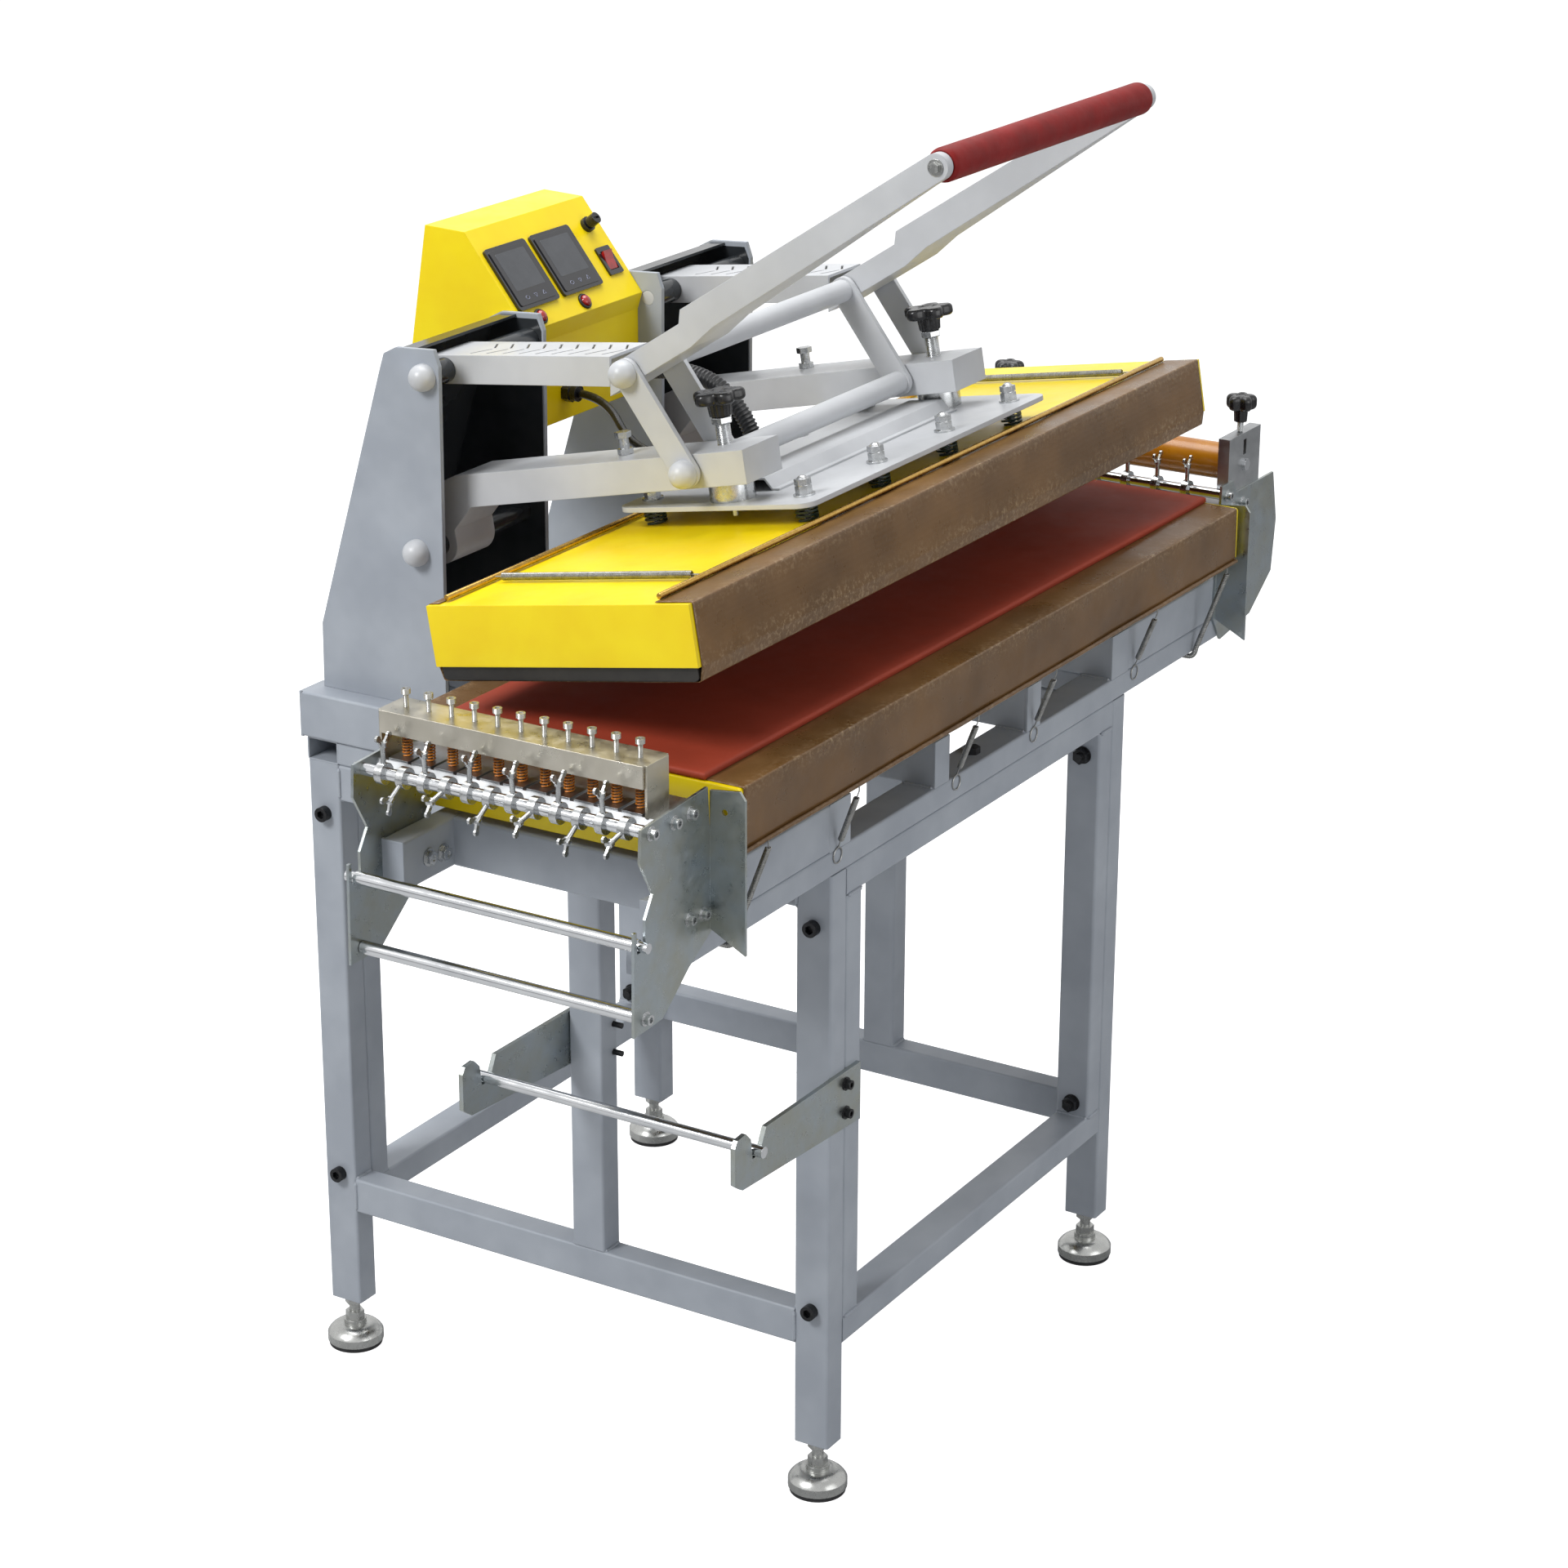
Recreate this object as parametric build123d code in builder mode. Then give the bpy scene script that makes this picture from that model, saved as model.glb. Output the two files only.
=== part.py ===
# Long heat press on a welded stand, with a ribbon guide station at each end
# Sizes in millimetres; +X runs along the press, -Y faces the operator, +Z is up
# The origin is on the floor under the middle of the stand; the press is drawn open
import math
import os

from build123d import *

os.makedirs("parts", exist_ok=True)

# Stand
stand_length = 640.0
stand_depth = 640.0
leg_x = 30.0
leg_y = 40.0
tube_wall = 2.0
tube_corner = 3.0
foot_height = 58.0
frame_top = 693.0
end_rail_low = 171.0
end_rail_height = 40.0
side_rail_low = 168.0
side_rail_height = 30.0
mid_post_y = -27.0
cap_thickness = 3.0
frame_screw_radius = 5.0
frame_screw_head = 8.0
frame_screw_z = (214.0, 636.0)

# Levelling feet
foot_cup_radius = 31.0
foot_pad_height = 5.0
foot_stem_radius = 6.0
foot_plug_height = 12.0

# Base frame on top of the stand
rail_height = 26.0
rail_depth = 40.0
base_length = 1240.0
cross_height = 50.0
cross_back_overhang = 5.0
outer_cross_x = 304.0
outer_cross_width = 40.0
inner_cross_x = 100.0
inner_cross_width = 30.0
outrigger_depth = 25.0
outrigger_back_y = -17.5
outrigger_end_x = 540.0

# Lower bed
bed_length = 1070.0
bed_front = -349.5
bed_back = 35.0
bed_bottom = 775.0
bed_top = 858.0
bed_sheet = 2.0
bed_board_thickness = 16.0
post_radius = 10.0
cloth_thickness = 0.8
cloth_gap = 0.3
bed_cloth_hem = 797.0
bed_skirt = 801.0
cloth_end_margin = 5.0
pad_front = -310.0
pad_back = -8.0
pad_top = 866.0
pad_length = 1066.0

# Pivots, as (y, z)
p1 = (169.0, 1121.0)
p0 = (183.5, 936.0)
p2 = (-52.0, 1148.0)
p3 = (-121.0, 1057.0)
lever_travel = 18.7
pin_radius = 8.0
shaft_radius = 7.0
running_clearance = 0.05
spacer_radius = 13.0
dome_radius = 14.0
dome_collar = 4.0

# Uprights
upright_outer = 298.0
upright_inner = 110.0
upright_plate = 5.0
upright_back_sheet = 3.0

# Linkage across the press
near_station_x = -228.0
far_station_x = 192.0
channel_width = 68.0
channel_height = 30.0
channel_wall = 3.0
channel_front_y = -30.0
louvre_count = 9
louvre_pitch = 20.0
bar_thickness = 6.0
bar_width = 29.0
bar_gap = 1.5
link_tube_radius = 12.0

# Handle
arm_slope = 33.2
arm_jog_start = 333.0
arm_jog_end = 300.0
upper_arm_depth = 31.0
lower_arm_drop = 11.0
lower_arm_depth = 25.5
arm_end_width = 10.0
arm_wall = 3.0
grip_y = -390.0
grip_z = 1384.0
grip_tube_radius = 12.5
grip_sleeve_radius = 16.5
arm_end_radius = 13.0

# Press arms and floating plate, drawn closed and then opened about p0
press_arm_width = 66.0
press_arm_height = 34.0
press_arm_front = -202.0
press_arm_slope = 2.76
press_arm_bend_y = 150.0
boss_radius = 22.0
plate_half_length = 250.0
plate_front = -262.0
plate_back = -34.0
plate_bottom = 961.0
plate_thickness = 5.0
rib_width = 56.0
rib_height = 12.0
screw_y = -155.0
screw_offset = 10.0
screw_radius = 8.0
collar_radius = 23.0
collar_height = 18.0
knob_radius = 27.0
knob_height = 14.0
stud_rows = (-234.0, -55.0)
stud_columns = (-212.0, -70.0, 70.0, 212.0)
stud_radius = 4.0
float_spring_radius = 10.0
float_spring_wire = 2.4
float_spring_turns = 3.5

# Upper platen, drawn closed
head_length = 1066.0
head_front = -302.0
head_back = -4.0
head_bottom = 882.0
head_top = 941.5
heater_thickness = 14.0
heater_core = 12.0
heater_inset = 4.0
head_hem_front = -262.0
head_hem_back = -16.0
hem_rod_radius = 3.0
head_spring_x = 445.0
head_spring_radius = 4.0

# Control box
box_half_width = 109.7
box_sheet = 2.0

# Ribbon stations
bracket_sheet = 3.0
bracket_back_y = -5.0
flange_x = 542.0
flange_depth = 38.0
bar_low_x = 560.0
bar_high_x = 628.0
bar_top = 850.0
bar_depth = 12.0
guide_rod_radius = 6.0
near_guide = (-643.0, 846.0)
far_guide = (562.0, 862.0)
guide_collar_radius = 10.5
guide_collar_width = 8.0
guide_collar_count = 12
guide_collar_pitch = 24.5
guide_first_y = -28.0
far_collar_count = 7
far_collar_pitch = 38.0
wing_screw_length = 19.0
tension_x = -605.0
tension_width = 42.0
tension_top = 900.0
tension_lip = 22.0
tension_sheet = 2.5
tension_front = -304.0
tension_back = -12.0
tension_count = 11
tension_pitch = 26.0
tension_first_y = -28.0
pad_plate_thickness = 2.0
tension_spring_radius = 4.6
tension_spring_wire = 1.6
tension_spring_turns = 6
upper_roller = (-660.0, 743.0)
lower_roller = (-655.0, 671.0)
roller_radius = 6.5
roller_journal = 5.0
station_screw_radius = 3.0
rubber_axis = (612.0, 887.0)
rubber_radius = 21.0
rubber_core_radius = 10.0
bearing_block_thickness = 14.0
nip_knob_radius = 18.0

# Roll holder
roll_arm_sheet = 5.0
roll_rod_centre = (-467.0, 462.0)
roll_rod_radius = 6.0
roll_rod_overhang = 9.0
roll_screw_inset = 23.0
roll_screw_z = (433.5, 465.0)

# Values worked out from the driving sizes
half_x = stand_length / 2
half_y = stand_depth / 2
rail_top = frame_top + rail_height
cross_top = rail_top + cross_height
front_face = -half_y
frame_screw_hole = frame_screw_radius + 0.2
station_hole = station_screw_radius + 0.2
roll_screw_x = -half_x + roll_screw_inset
linkage_stations = (near_station_x, far_station_x)
screw_places = (near_station_x + screw_offset, far_station_x + screw_offset)
channel_half = channel_width / 2
press_arm_half = press_arm_width / 2
bar_reach = channel_half + bar_gap
upright_inner_face = upright_inner + upright_plate
upright_outer_face = upright_outer - upright_plate


# Linkage geometry
def turned(point, centre, degrees):
    """Point turned about a centre in the y-z plane, +X right hand."""
    angle = math.radians(degrees)
    dy = point[0] - centre[0]
    dz = point[1] - centre[1]
    return (
        centre[0] + dy * math.cos(angle) - dz * math.sin(angle),
        centre[1] + dy * math.sin(angle) + dz * math.cos(angle),
    )


def heading(start, end):
    """Direction from one point to another, in degrees."""
    return math.degrees(math.atan2(end[1] - start[1], end[0] - start[0]))


head_reach = math.dist(p0, p3)
link_reach = math.dist(p2, p3)


def head_pivot(link_top):
    """Where the down link meets the press arm for a place of its top pivot."""
    span = math.dist(p0, link_top)
    cosine = (head_reach**2 + span**2 - link_reach**2) / (2 * head_reach * span)
    angle = math.radians(heading(p0, link_top)) + math.acos(cosine)
    return (p0[0] + head_reach * math.cos(angle), p0[1] + head_reach * math.sin(angle))


p2_closed = turned(p2, p1, lever_travel)
p3_closed = head_pivot(p2_closed)
head_travel = heading(p0, p3_closed) - heading(p0, p3)
link_travel = heading(p2_closed, p3_closed) - heading(p2, p3) - lever_travel
open_pivot_slack = 0.0
for step in range(21):
    share = step / 20
    link_top = turned(p2, p1, lever_travel * share)
    hanging = turned(p3, p2, (link_travel + lever_travel) * share)
    hanging = (hanging[0] + link_top[0] - p2[0], hanging[1] + link_top[1] - p2[1])
    carried = turned(p3, p0, head_travel * share)
    open_pivot_slack = max(open_pivot_slack, math.dist(hanging, carried))
open_hole_radius = shaft_radius + open_pivot_slack + 0.3
print("lever, head and link travel", lever_travel, round(head_travel, 4), round(link_travel, 4))
print("open pivot slack", round(open_pivot_slack, 3))
head_axis = Axis((0, p0[0], p0[1]), (1, 0, 0))


# Shape helpers
def section_plane(along, low, high):
    """Plane to draw a section on, so that it is extruded from low to high."""
    if along == "x":
        return Plane(origin=(low, 0, 0), x_dir=(0, 1, 0), z_dir=(1, 0, 0))
    if along == "y":
        return Plane(origin=(0, high, 0), x_dir=(1, 0, 0), z_dir=(0, -1, 0))
    return Plane.XY.offset(low)


def slab(points, along, low, high, holes=()):
    """Prism on an outline, with round holes given as (a, b, radius)."""
    with BuildPart() as shape:
        with BuildSketch(section_plane(along, low, high)):
            with BuildLine():
                Polyline(*points, close=True)
            make_face()
            for a, b, radius in holes:
                with Locations((a, b)):
                    Circle(radius, mode=Mode.SUBTRACT)
        extrude(amount=high - low)
    return shape.part


def block(low, high, corner=0.0, along=Axis.Z):
    """Solid box between two corners, with its long edges rounded."""
    with BuildPart() as shape:
        with Locations(tuple((low[i] + high[i]) / 2 for i in range(3))):
            Box(*[high[i] - low[i] for i in range(3)])
        if corner > 0:
            fillet(shape.edges().filter_by(along), corner)
    return shape.part


def tube(low, high, along):
    """Rectangular steel tube between two corners, open at both ends."""
    index = {Axis.X: 0, Axis.Y: 1, Axis.Z: 2}[along]
    bore = [high[i] - low[i] - 2 * tube_wall for i in range(3)]
    bore[index] = high[index] - low[index] + 2
    with BuildPart() as shape:
        with Locations(tuple((low[i] + high[i]) / 2 for i in range(3))):
            Box(*[high[i] - low[i] for i in range(3)])
            fillet(shape.edges().filter_by(along), tube_corner)
            Box(*bore, mode=Mode.SUBTRACT)
    return shape.part


def rod(along, centre, low, high, radius, bore=0.0):
    """Round bar or tube along one axis."""
    with BuildPart() as shape:
        with BuildSketch(section_plane(along, low, high)):
            with Locations(centre):
                Circle(radius)
                if bore > 0:
                    Circle(bore, mode=Mode.SUBTRACT)
        extrude(amount=high - low)
    return shape.part


def placed(shape, point, direction):
    """Piece drawn up +Z from the origin, set at a point along a direction."""
    return Plane(origin=point, z_dir=direction).location * shape


def mirrored(shape):
    """The piece mirrored to the other end of the press."""
    return shape.mirror(Plane.YZ)


def drilled(shape, cuts):
    """Piece with round cuts taken out of it."""
    with BuildPart() as result:
        add(shape)
        for cut in cuts:
            add(cut, mode=Mode.SUBTRACT)
    return result.part


def opened(shape):
    """Piece of the press head turned from its closed place to the open one."""
    return shape.rotate(head_axis, -head_travel)


def save(name, pieces):
    """Write one named node from its pieces."""
    if len(pieces) == 1:
        node = pieces[0]
    else:
        node = Compound(children=[Compound(piece.wrapped) for piece in pieces])
    node.label = name
    export_step(node, f"parts/{name}.step")


# Fastener helpers
def hexagon(radius, height, bore=0.0):
    """Hexagon nut or head standing on the origin."""
    with BuildPart() as shape:
        with BuildSketch():
            RegularPolygon(radius, 6)
            if bore > 0:
                Circle(bore, mode=Mode.SUBTRACT)
        extrude(amount=height)
    return shape.part


def socket_screw(head_radius, shank_radius, length):
    """Socket head screw with the underside of its head at the origin."""
    head = 1.1 * head_radius
    with BuildPart() as shape:
        with BuildSketch():
            Circle(head_radius)
        extrude(amount=head)
        with BuildSketch(Plane.XY.offset(head)):
            RegularPolygon(0.6 * head_radius, 6)
        extrude(amount=-0.6 * head, mode=Mode.SUBTRACT)
        with BuildSketch():
            Circle(shank_radius)
        extrude(amount=-length)
    return shape.part


def washer(radius, bore, height):
    """Flat washer standing on the origin."""
    return rod("z", (0, 0), 0, height, radius, bore)


def dome():
    """Pin end cap: a short collar under half a ball."""
    with BuildPart() as shape:
        with BuildSketch(Plane.XZ):
            with BuildLine():
                Line((0, 0), (dome_radius, 0))
                Line((dome_radius, 0), (dome_radius, dome_collar))
                ThreePointArc(
                    (dome_radius, dome_collar),
                    (dome_radius * math.sqrt(0.5), dome_collar + dome_radius * math.sqrt(0.5)),
                    (0, dome_collar + dome_radius),
                )
                Line((0, dome_collar + dome_radius), (0, 0))
            make_face()
        revolve(axis=Axis.Z)
    return shape.part


def star_knob(radius, height, bore):
    """Five-lobed knob with a hub under it, standing on the origin."""
    with BuildPart() as shape:
        with BuildSketch():
            Circle(0.42 * radius)
        extrude(amount=0.8 * height)
        with BuildSketch(Plane.XY.offset(0.8 * height)):
            Circle(0.74 * radius)
            with PolarLocations(0.74 * radius, 5):
                Circle(0.26 * radius)
        extrude(amount=height)
        if bore > 0:
            with BuildSketch():
                Circle(bore)
            extrude(amount=height, mode=Mode.SUBTRACT)
    return shape.part


def wing_screw(length):
    """Wing screw with its tip at the origin and two wings on top."""
    shank = 2.5
    with BuildPart() as shape:
        with BuildSketch():
            Circle(shank)
        extrude(amount=length)
        with BuildSketch(Plane.XY.offset(length - 4)):
            Circle(4)
        extrude(amount=5)
        with BuildSketch(Plane.XZ.offset(-1.25)):
            for side in (-1, 1):
                with Locations((side * 5.5, length + 2.5)):
                    Rectangle(4.5, 10, rotation=-side * 42)
                with Locations((side * 8.5, length + 5.8)):
                    Circle(3.2)
        extrude(amount=2.5)
    return shape.part


def coil(radius, wire, height, turns):
    """Open spring standing on the origin, as one wound wire."""
    steps = round(4 * turns)
    rise = (height - wire) / steps

    def on_helix(quarter):
        angle = math.radians(90 * quarter)
        return (radius * math.cos(angle), radius * math.sin(angle), wire / 2 + rise * quarter)

    with BuildPart() as shape:
        with BuildLine() as path:
            for quarter in range(steps):
                ThreePointArc(on_helix(quarter), on_helix(quarter + 0.5), on_helix(quarter + 1))
        with BuildSketch(Plane(origin=on_helix(0), z_dir=path.line % 0)):
            Circle(wire / 2)
        sweep(path=path.line)
    return shape.part


def coil_gap(radius, wire, height, turns):
    """Least gap between points a turn apart on a wound wire."""
    steps = 48
    rise = (height - wire) / turns / steps
    least = math.inf
    for offset in range(steps // 2, steps * 2):
        angle = math.radians(360 * offset / steps)
        chord = 2 * radius * abs(math.sin(angle / 2))
        least = min(least, math.hypot(chord, rise * offset) - wire)
    return least


def ribbon(points, thickness, low, high):
    """Thin sheet that follows a line in the y-z plane, mitred at its corners."""
    left = []
    right = []
    for index, point in enumerate(points):
        ahead = points[min(index + 1, len(points) - 1)]
        behind = points[max(index - 1, 0)]
        out = heading(point, ahead) if index + 1 < len(points) else heading(behind, point)
        come = heading(behind, point) if index > 0 else out
        bend = math.radians(out - come)
        bend = math.atan2(math.sin(bend), math.cos(bend))
        normal = math.radians(come) + bend / 2 + math.pi / 2
        reach = thickness / 2 / math.cos(bend / 2)
        left.append((point[0] + reach * math.cos(normal), point[1] + reach * math.sin(normal)))
        right.append((point[0] - reach * math.cos(normal), point[1] - reach * math.sin(normal)))
    return slab(left + right[::-1], "x", low, high)


def round_path(points, radius, bend):
    """Round bar swept along a line with rounded corners."""
    with BuildPart() as shape:
        with BuildLine() as path:
            if bend > 0:
                FilletPolyline(*points, radius=bend)
            else:
                Polyline(*points)
        with BuildSketch(Plane(origin=points[0], z_dir=path.line % 0)):
            Circle(radius)
        sweep(path=path.line)
    return shape.part


# Stand end frames
def end_frame(side):
    """Two legs, two rails and a middle post at one end of the stand."""
    low_x = half_x - leg_x if side > 0 else -half_x
    high_x = low_x + leg_x
    pieces = []
    for end in (-1, 1):
        low_y = end * half_y if end < 0 else half_y - leg_y
        leg = tube((low_x, low_y, foot_height), (high_x, low_y + leg_y, frame_top), Axis.Z)
        centre_y = low_y + leg_y / 2
        holes = [
            rod("x", (centre_y, z), low_x - 1, high_x + 1, frame_screw_hole) for z in frame_screw_z
        ]
        if end < 0 and side < 0:
            for z in roll_screw_z:
                holes.append(
                    rod("y", (roll_screw_x, z), low_y - 1, low_y + leg_y + 1, station_hole)
                )
        pieces.append(drilled(leg, holes))
        plug = block(
            (low_x + tube_wall, low_y + tube_wall, foot_height),
            (high_x - tube_wall, low_y + leg_y - tube_wall, foot_height + foot_plug_height),
        )
        hole = rod(
            "z",
            ((low_x + high_x) / 2, centre_y),
            foot_height - 1,
            foot_height + foot_plug_height + 1,
            foot_stem_radius + running_clearance,
        )
        pieces.append(drilled(plug, [hole]))
    inner_y = half_y - leg_y
    for low_z in (end_rail_low, frame_top - end_rail_height):
        pieces.append(
            tube((low_x, -inner_y, low_z), (high_x, inner_y, low_z + end_rail_height), Axis.Y)
        )
    post = tube(
        (low_x, mid_post_y - leg_y / 2, end_rail_low + end_rail_height),
        (high_x, mid_post_y + leg_y / 2, frame_top - end_rail_height),
        Axis.Z,
    )
    if side < 0:
        low_y = mid_post_y - leg_y / 2
        holes = [
            rod("y", (roll_screw_x, z), low_y - 1, low_y + leg_y + 1, station_hole)
            for z in roll_screw_z
        ]
        post = drilled(post, holes)
    pieces.append(post)
    return pieces


save("end_frames", end_frame(-1) + end_frame(1))

# Stand side frames between the end frames
side_frames = []
side_end = half_x - leg_x
for low_y in (-half_y, half_y - leg_y):
    high_y = low_y + leg_y
    rail_top_low = frame_top - side_rail_height
    for low_z in (side_rail_low, rail_top_low):
        side_frames.append(
            tube((-side_end, low_y, low_z), (side_end, high_y, low_z + side_rail_height), Axis.X)
        )
    for low_x in (-side_end, side_end - leg_x):
        upright = tube(
            (low_x, low_y, side_rail_low + side_rail_height),
            (low_x + leg_x, high_y, rail_top_low),
            Axis.Z,
        )
        centre_y = (low_y + high_y) / 2
        side_frames.append(
            drilled(
                upright,
                [
                    rod("x", (centre_y, z), low_x - 1, low_x + leg_x + 1, frame_screw_hole)
                    for z in frame_screw_z
                ],
            )
        )
save("side_frames", side_frames)

# Black socket screws that join the frames, with washers and nuts inside
frame_screws = []
screw_reach = 2 * leg_x
for side in (-1, 1):
    for end in (-1, 1):
        for z in frame_screw_z:
            y = end * (half_y - leg_y / 2)
            head_point = (side * half_x, y, z)
            screw = socket_screw(frame_screw_head, frame_screw_radius, screw_reach + 14)
            frame_screws.append(placed(screw, head_point, (side, 0, 0)))
            inside = (side * (half_x - screw_reach), y, z)
            nut = washer(10, frame_screw_radius, 1.5)
            frame_screws.append(placed(nut, inside, (-side, 0, 0)))
            inside = (side * (half_x - screw_reach - 1.5), y, z)
            nut = hexagon(9, 8, frame_screw_radius)
            frame_screws.append(placed(nut, inside, (-side, 0, 0)))
rail_screw = hexagon(9, 7)
frame_screws.append(placed(rail_screw, (0, front_face + rail_depth / 2, rail_top), (0, 0, 1)))

# Levelling feet
foot_places = [
    (sx * (half_x - leg_x / 2), sy * (half_y - leg_y / 2)) for sx in (-1, 1) for sy in (-1, 1)
]
neck_top = 30.0
nut_height = 9.0
with BuildPart() as foot_cup:
    with BuildSketch(Plane.XZ):
        with BuildLine():
            Line((0, foot_pad_height), (foot_cup_radius, foot_pad_height))
            Line((foot_cup_radius, foot_pad_height), (foot_cup_radius, foot_pad_height + 9))
            ThreePointArc(
                (foot_cup_radius, foot_pad_height + 9),
                (0.8 * foot_cup_radius, foot_pad_height + 16),
                (0.4 * foot_cup_radius, foot_pad_height + 19),
            )
            Line((0.4 * foot_cup_radius, foot_pad_height + 19), (0.4 * foot_cup_radius, neck_top))
            Line((0.4 * foot_cup_radius, neck_top), (0, neck_top))
            Line((0, neck_top), (0, foot_pad_height))
        make_face()
    revolve(axis=Axis.Z)
foot_cups = []
foot_pads = []
for x, y in foot_places:
    foot_cups.append(foot_cup.part.moved(Location((x, y, 0))))
    stem_top = foot_height + foot_plug_height
    foot_cups.append(rod("z", (x, y), neck_top, stem_top, foot_stem_radius))
    lower_nut = hexagon(10.5, nut_height, foot_stem_radius)
    foot_cups.append(lower_nut.moved(Location((x, y, neck_top))))
    foot_cups.append(lower_nut.moved(Location((x, y, foot_height - nut_height))))
    foot_pads.append(rod("z", (x, y), 0, foot_pad_height, foot_cup_radius - 1.5))
save("foot_cups", foot_cups)
save("foot_pads", foot_pads)

# Base rails lying on the stand
rail_end = base_length / 2
base_rails = [
    tube(
        (-rail_end + cap_thickness, front_face, frame_top),
        (rail_end - cap_thickness, front_face + rail_depth, rail_top),
        Axis.X,
    ),
    tube((-half_x, half_y - rail_depth, frame_top), (half_x, half_y, rail_top), Axis.X),
]
for side in (-1, 1):
    cap_x = side * (rail_end - cap_thickness / 2)
    base_rails.append(
        block(
            (cap_x - cap_thickness / 2, front_face, frame_top),
            (cap_x + cap_thickness / 2, front_face + rail_depth, rail_top),
        )
    )
    low_x = half_x - leg_x if side > 0 else -half_x
    base_rails.append(
        tube(
            (low_x, front_face + rail_depth, frame_top),
            (low_x + leg_x, half_y - rail_depth, rail_top),
            Axis.Y,
        )
    )
save("base_rails", base_rails)

# Cross tubes under the bed
cross_tubes = []
cross_back = half_y + cross_back_overhang
for centre, width in (
    (-outer_cross_x, outer_cross_width),
    (-inner_cross_x, inner_cross_width),
    (inner_cross_x, inner_cross_width),
    (outer_cross_x, outer_cross_width),
):
    low_x = centre - width / 2
    high_x = centre + width / 2
    cross_tubes.append(
        tube(
            (low_x, front_face + cap_thickness, rail_top),
            (high_x, cross_back - cap_thickness, cross_top),
            Axis.Y,
        )
    )
    for low_y in (front_face, cross_back - cap_thickness):
        cross_tubes.append(
            block((low_x, low_y, rail_top), (high_x, low_y + cap_thickness, cross_top))
        )
save("cross_tubes", cross_tubes)

# Outriggers that carry the ribbon stations
outriggers = []
outrigger_start = outer_cross_x + outer_cross_width / 2
back_low = outrigger_back_y - outrigger_depth / 2
for side in (-1, 1):
    for low_y in (front_face, back_low):
        high_y = low_y + outrigger_depth
        near = outrigger_start if side > 0 else -rail_end + cap_thickness
        far = rail_end - cap_thickness if side > 0 else -outrigger_start
        arm = tube((near, low_y, rail_top), (far, high_y, cross_top), Axis.X)
        holes = []
        for x, z in ((581.0, 742.0), (558.0, 739.0)):
            holes.append(rod("y", (side * x, z), low_y - 1, high_y + 1, station_hole))
        outriggers.append(drilled(arm, holes))
        cap_x = side * (rail_end - cap_thickness / 2)
        outriggers.append(
            block(
                (cap_x - cap_thickness / 2, low_y, rail_top),
                (cap_x + cap_thickness / 2, high_y, cross_top),
            )
        )
    low_x = outrigger_end_x - outrigger_depth if side > 0 else -outrigger_end_x
    outriggers.append(
        tube(
            (low_x, front_face + outrigger_depth, rail_top),
            (low_x + outrigger_depth, back_low, cross_top),
            Axis.Y,
        )
    )
save("end_outriggers", outriggers)

# Lower bed: board on posts under a folded cover
board_top = bed_top - bed_sheet
board_low = board_top - bed_board_thickness
bed_half = bed_length / 2
cover_clear = 0.5
bed_board = [
    block(
        (-bed_half + bed_sheet + cover_clear, bed_front + bed_sheet + cover_clear, board_low),
        (bed_half - bed_sheet - cover_clear, bed_back - bed_sheet - cover_clear, board_top),
    )
]
for x in (-outer_cross_x, -inner_cross_x, inner_cross_x, outer_cross_x):
    for y in (bed_front + 60, bed_back - 60):
        bed_board.append(rod("z", (x, y), cross_top, board_low, post_radius))
save("bed_board", bed_board)

with BuildPart() as bed_cover:
    with Locations((0, (bed_front + bed_back) / 2, (bed_bottom + bed_top) / 2)):
        Box(bed_length, bed_back - bed_front, bed_top - bed_bottom)
    fillet(bed_cover.edges().filter_by(Axis.X).group_by(Axis.Z)[-1], 4)
    with Locations((0, (bed_front + bed_back) / 2, (bed_bottom + bed_top - bed_sheet) / 2 - 1)):
        Box(
            bed_length - 2 * bed_sheet,
            bed_back - bed_front - 2 * bed_sheet,
            bed_top - bed_bottom - bed_sheet + 2,
            mode=Mode.SUBTRACT,
        )
cover_cut = slab(
    [(bed_front - 1, bed_skirt), (bed_front - 1, bed_bottom - 1), (bed_front + 26, bed_bottom - 1)],
    "x",
    -bed_length / 2 - 1,
    bed_length / 2 + 1,
)
save("bed_cover", [drilled(bed_cover.part, [cover_cut])])

cloth_half = bed_half - cloth_end_margin
cloth_lift = cloth_gap + cloth_thickness / 2
bed_cloth = ribbon(
    [
        (bed_back + cloth_lift, bed_cloth_hem),
        (bed_back + cloth_lift, bed_top + cloth_lift),
        (bed_front - cloth_lift, bed_top + cloth_lift),
        (bed_front - cloth_lift, bed_cloth_hem),
    ],
    cloth_thickness,
    -cloth_half,
    cloth_half,
)
hem_radius = 2.5
hem_y = bed_front - cloth_gap - hem_radius
hem = rod("x", (hem_y, bed_cloth_hem), -cloth_half, cloth_half, hem_radius)
save("bed_cloth", [bed_cloth + hem])

pad_bottom = bed_top + cloth_gap + cloth_thickness + cloth_gap
save(
    "bed_pad",
    [
        block(
            (-pad_length / 2, pad_front, pad_bottom),
            (pad_length / 2, pad_back, pad_top),
        )
    ],
)

# Springs that draw the lower cloth down to the front rail
bed_springs = []
spring_radius = 3.2
wire_radius = 0.7
hook_y = hem_y - hem_radius
anchor = (front_face - wire_radius - 0.3, rail_top - 6)


def wire_ring(point, radius, turn):
    """Closed wire ring at a point, turned from lying flat."""
    with BuildPart() as ring:
        with Locations(Location(point, turn)):
            Torus(radius, wire_radius)
    return ring.part


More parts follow.
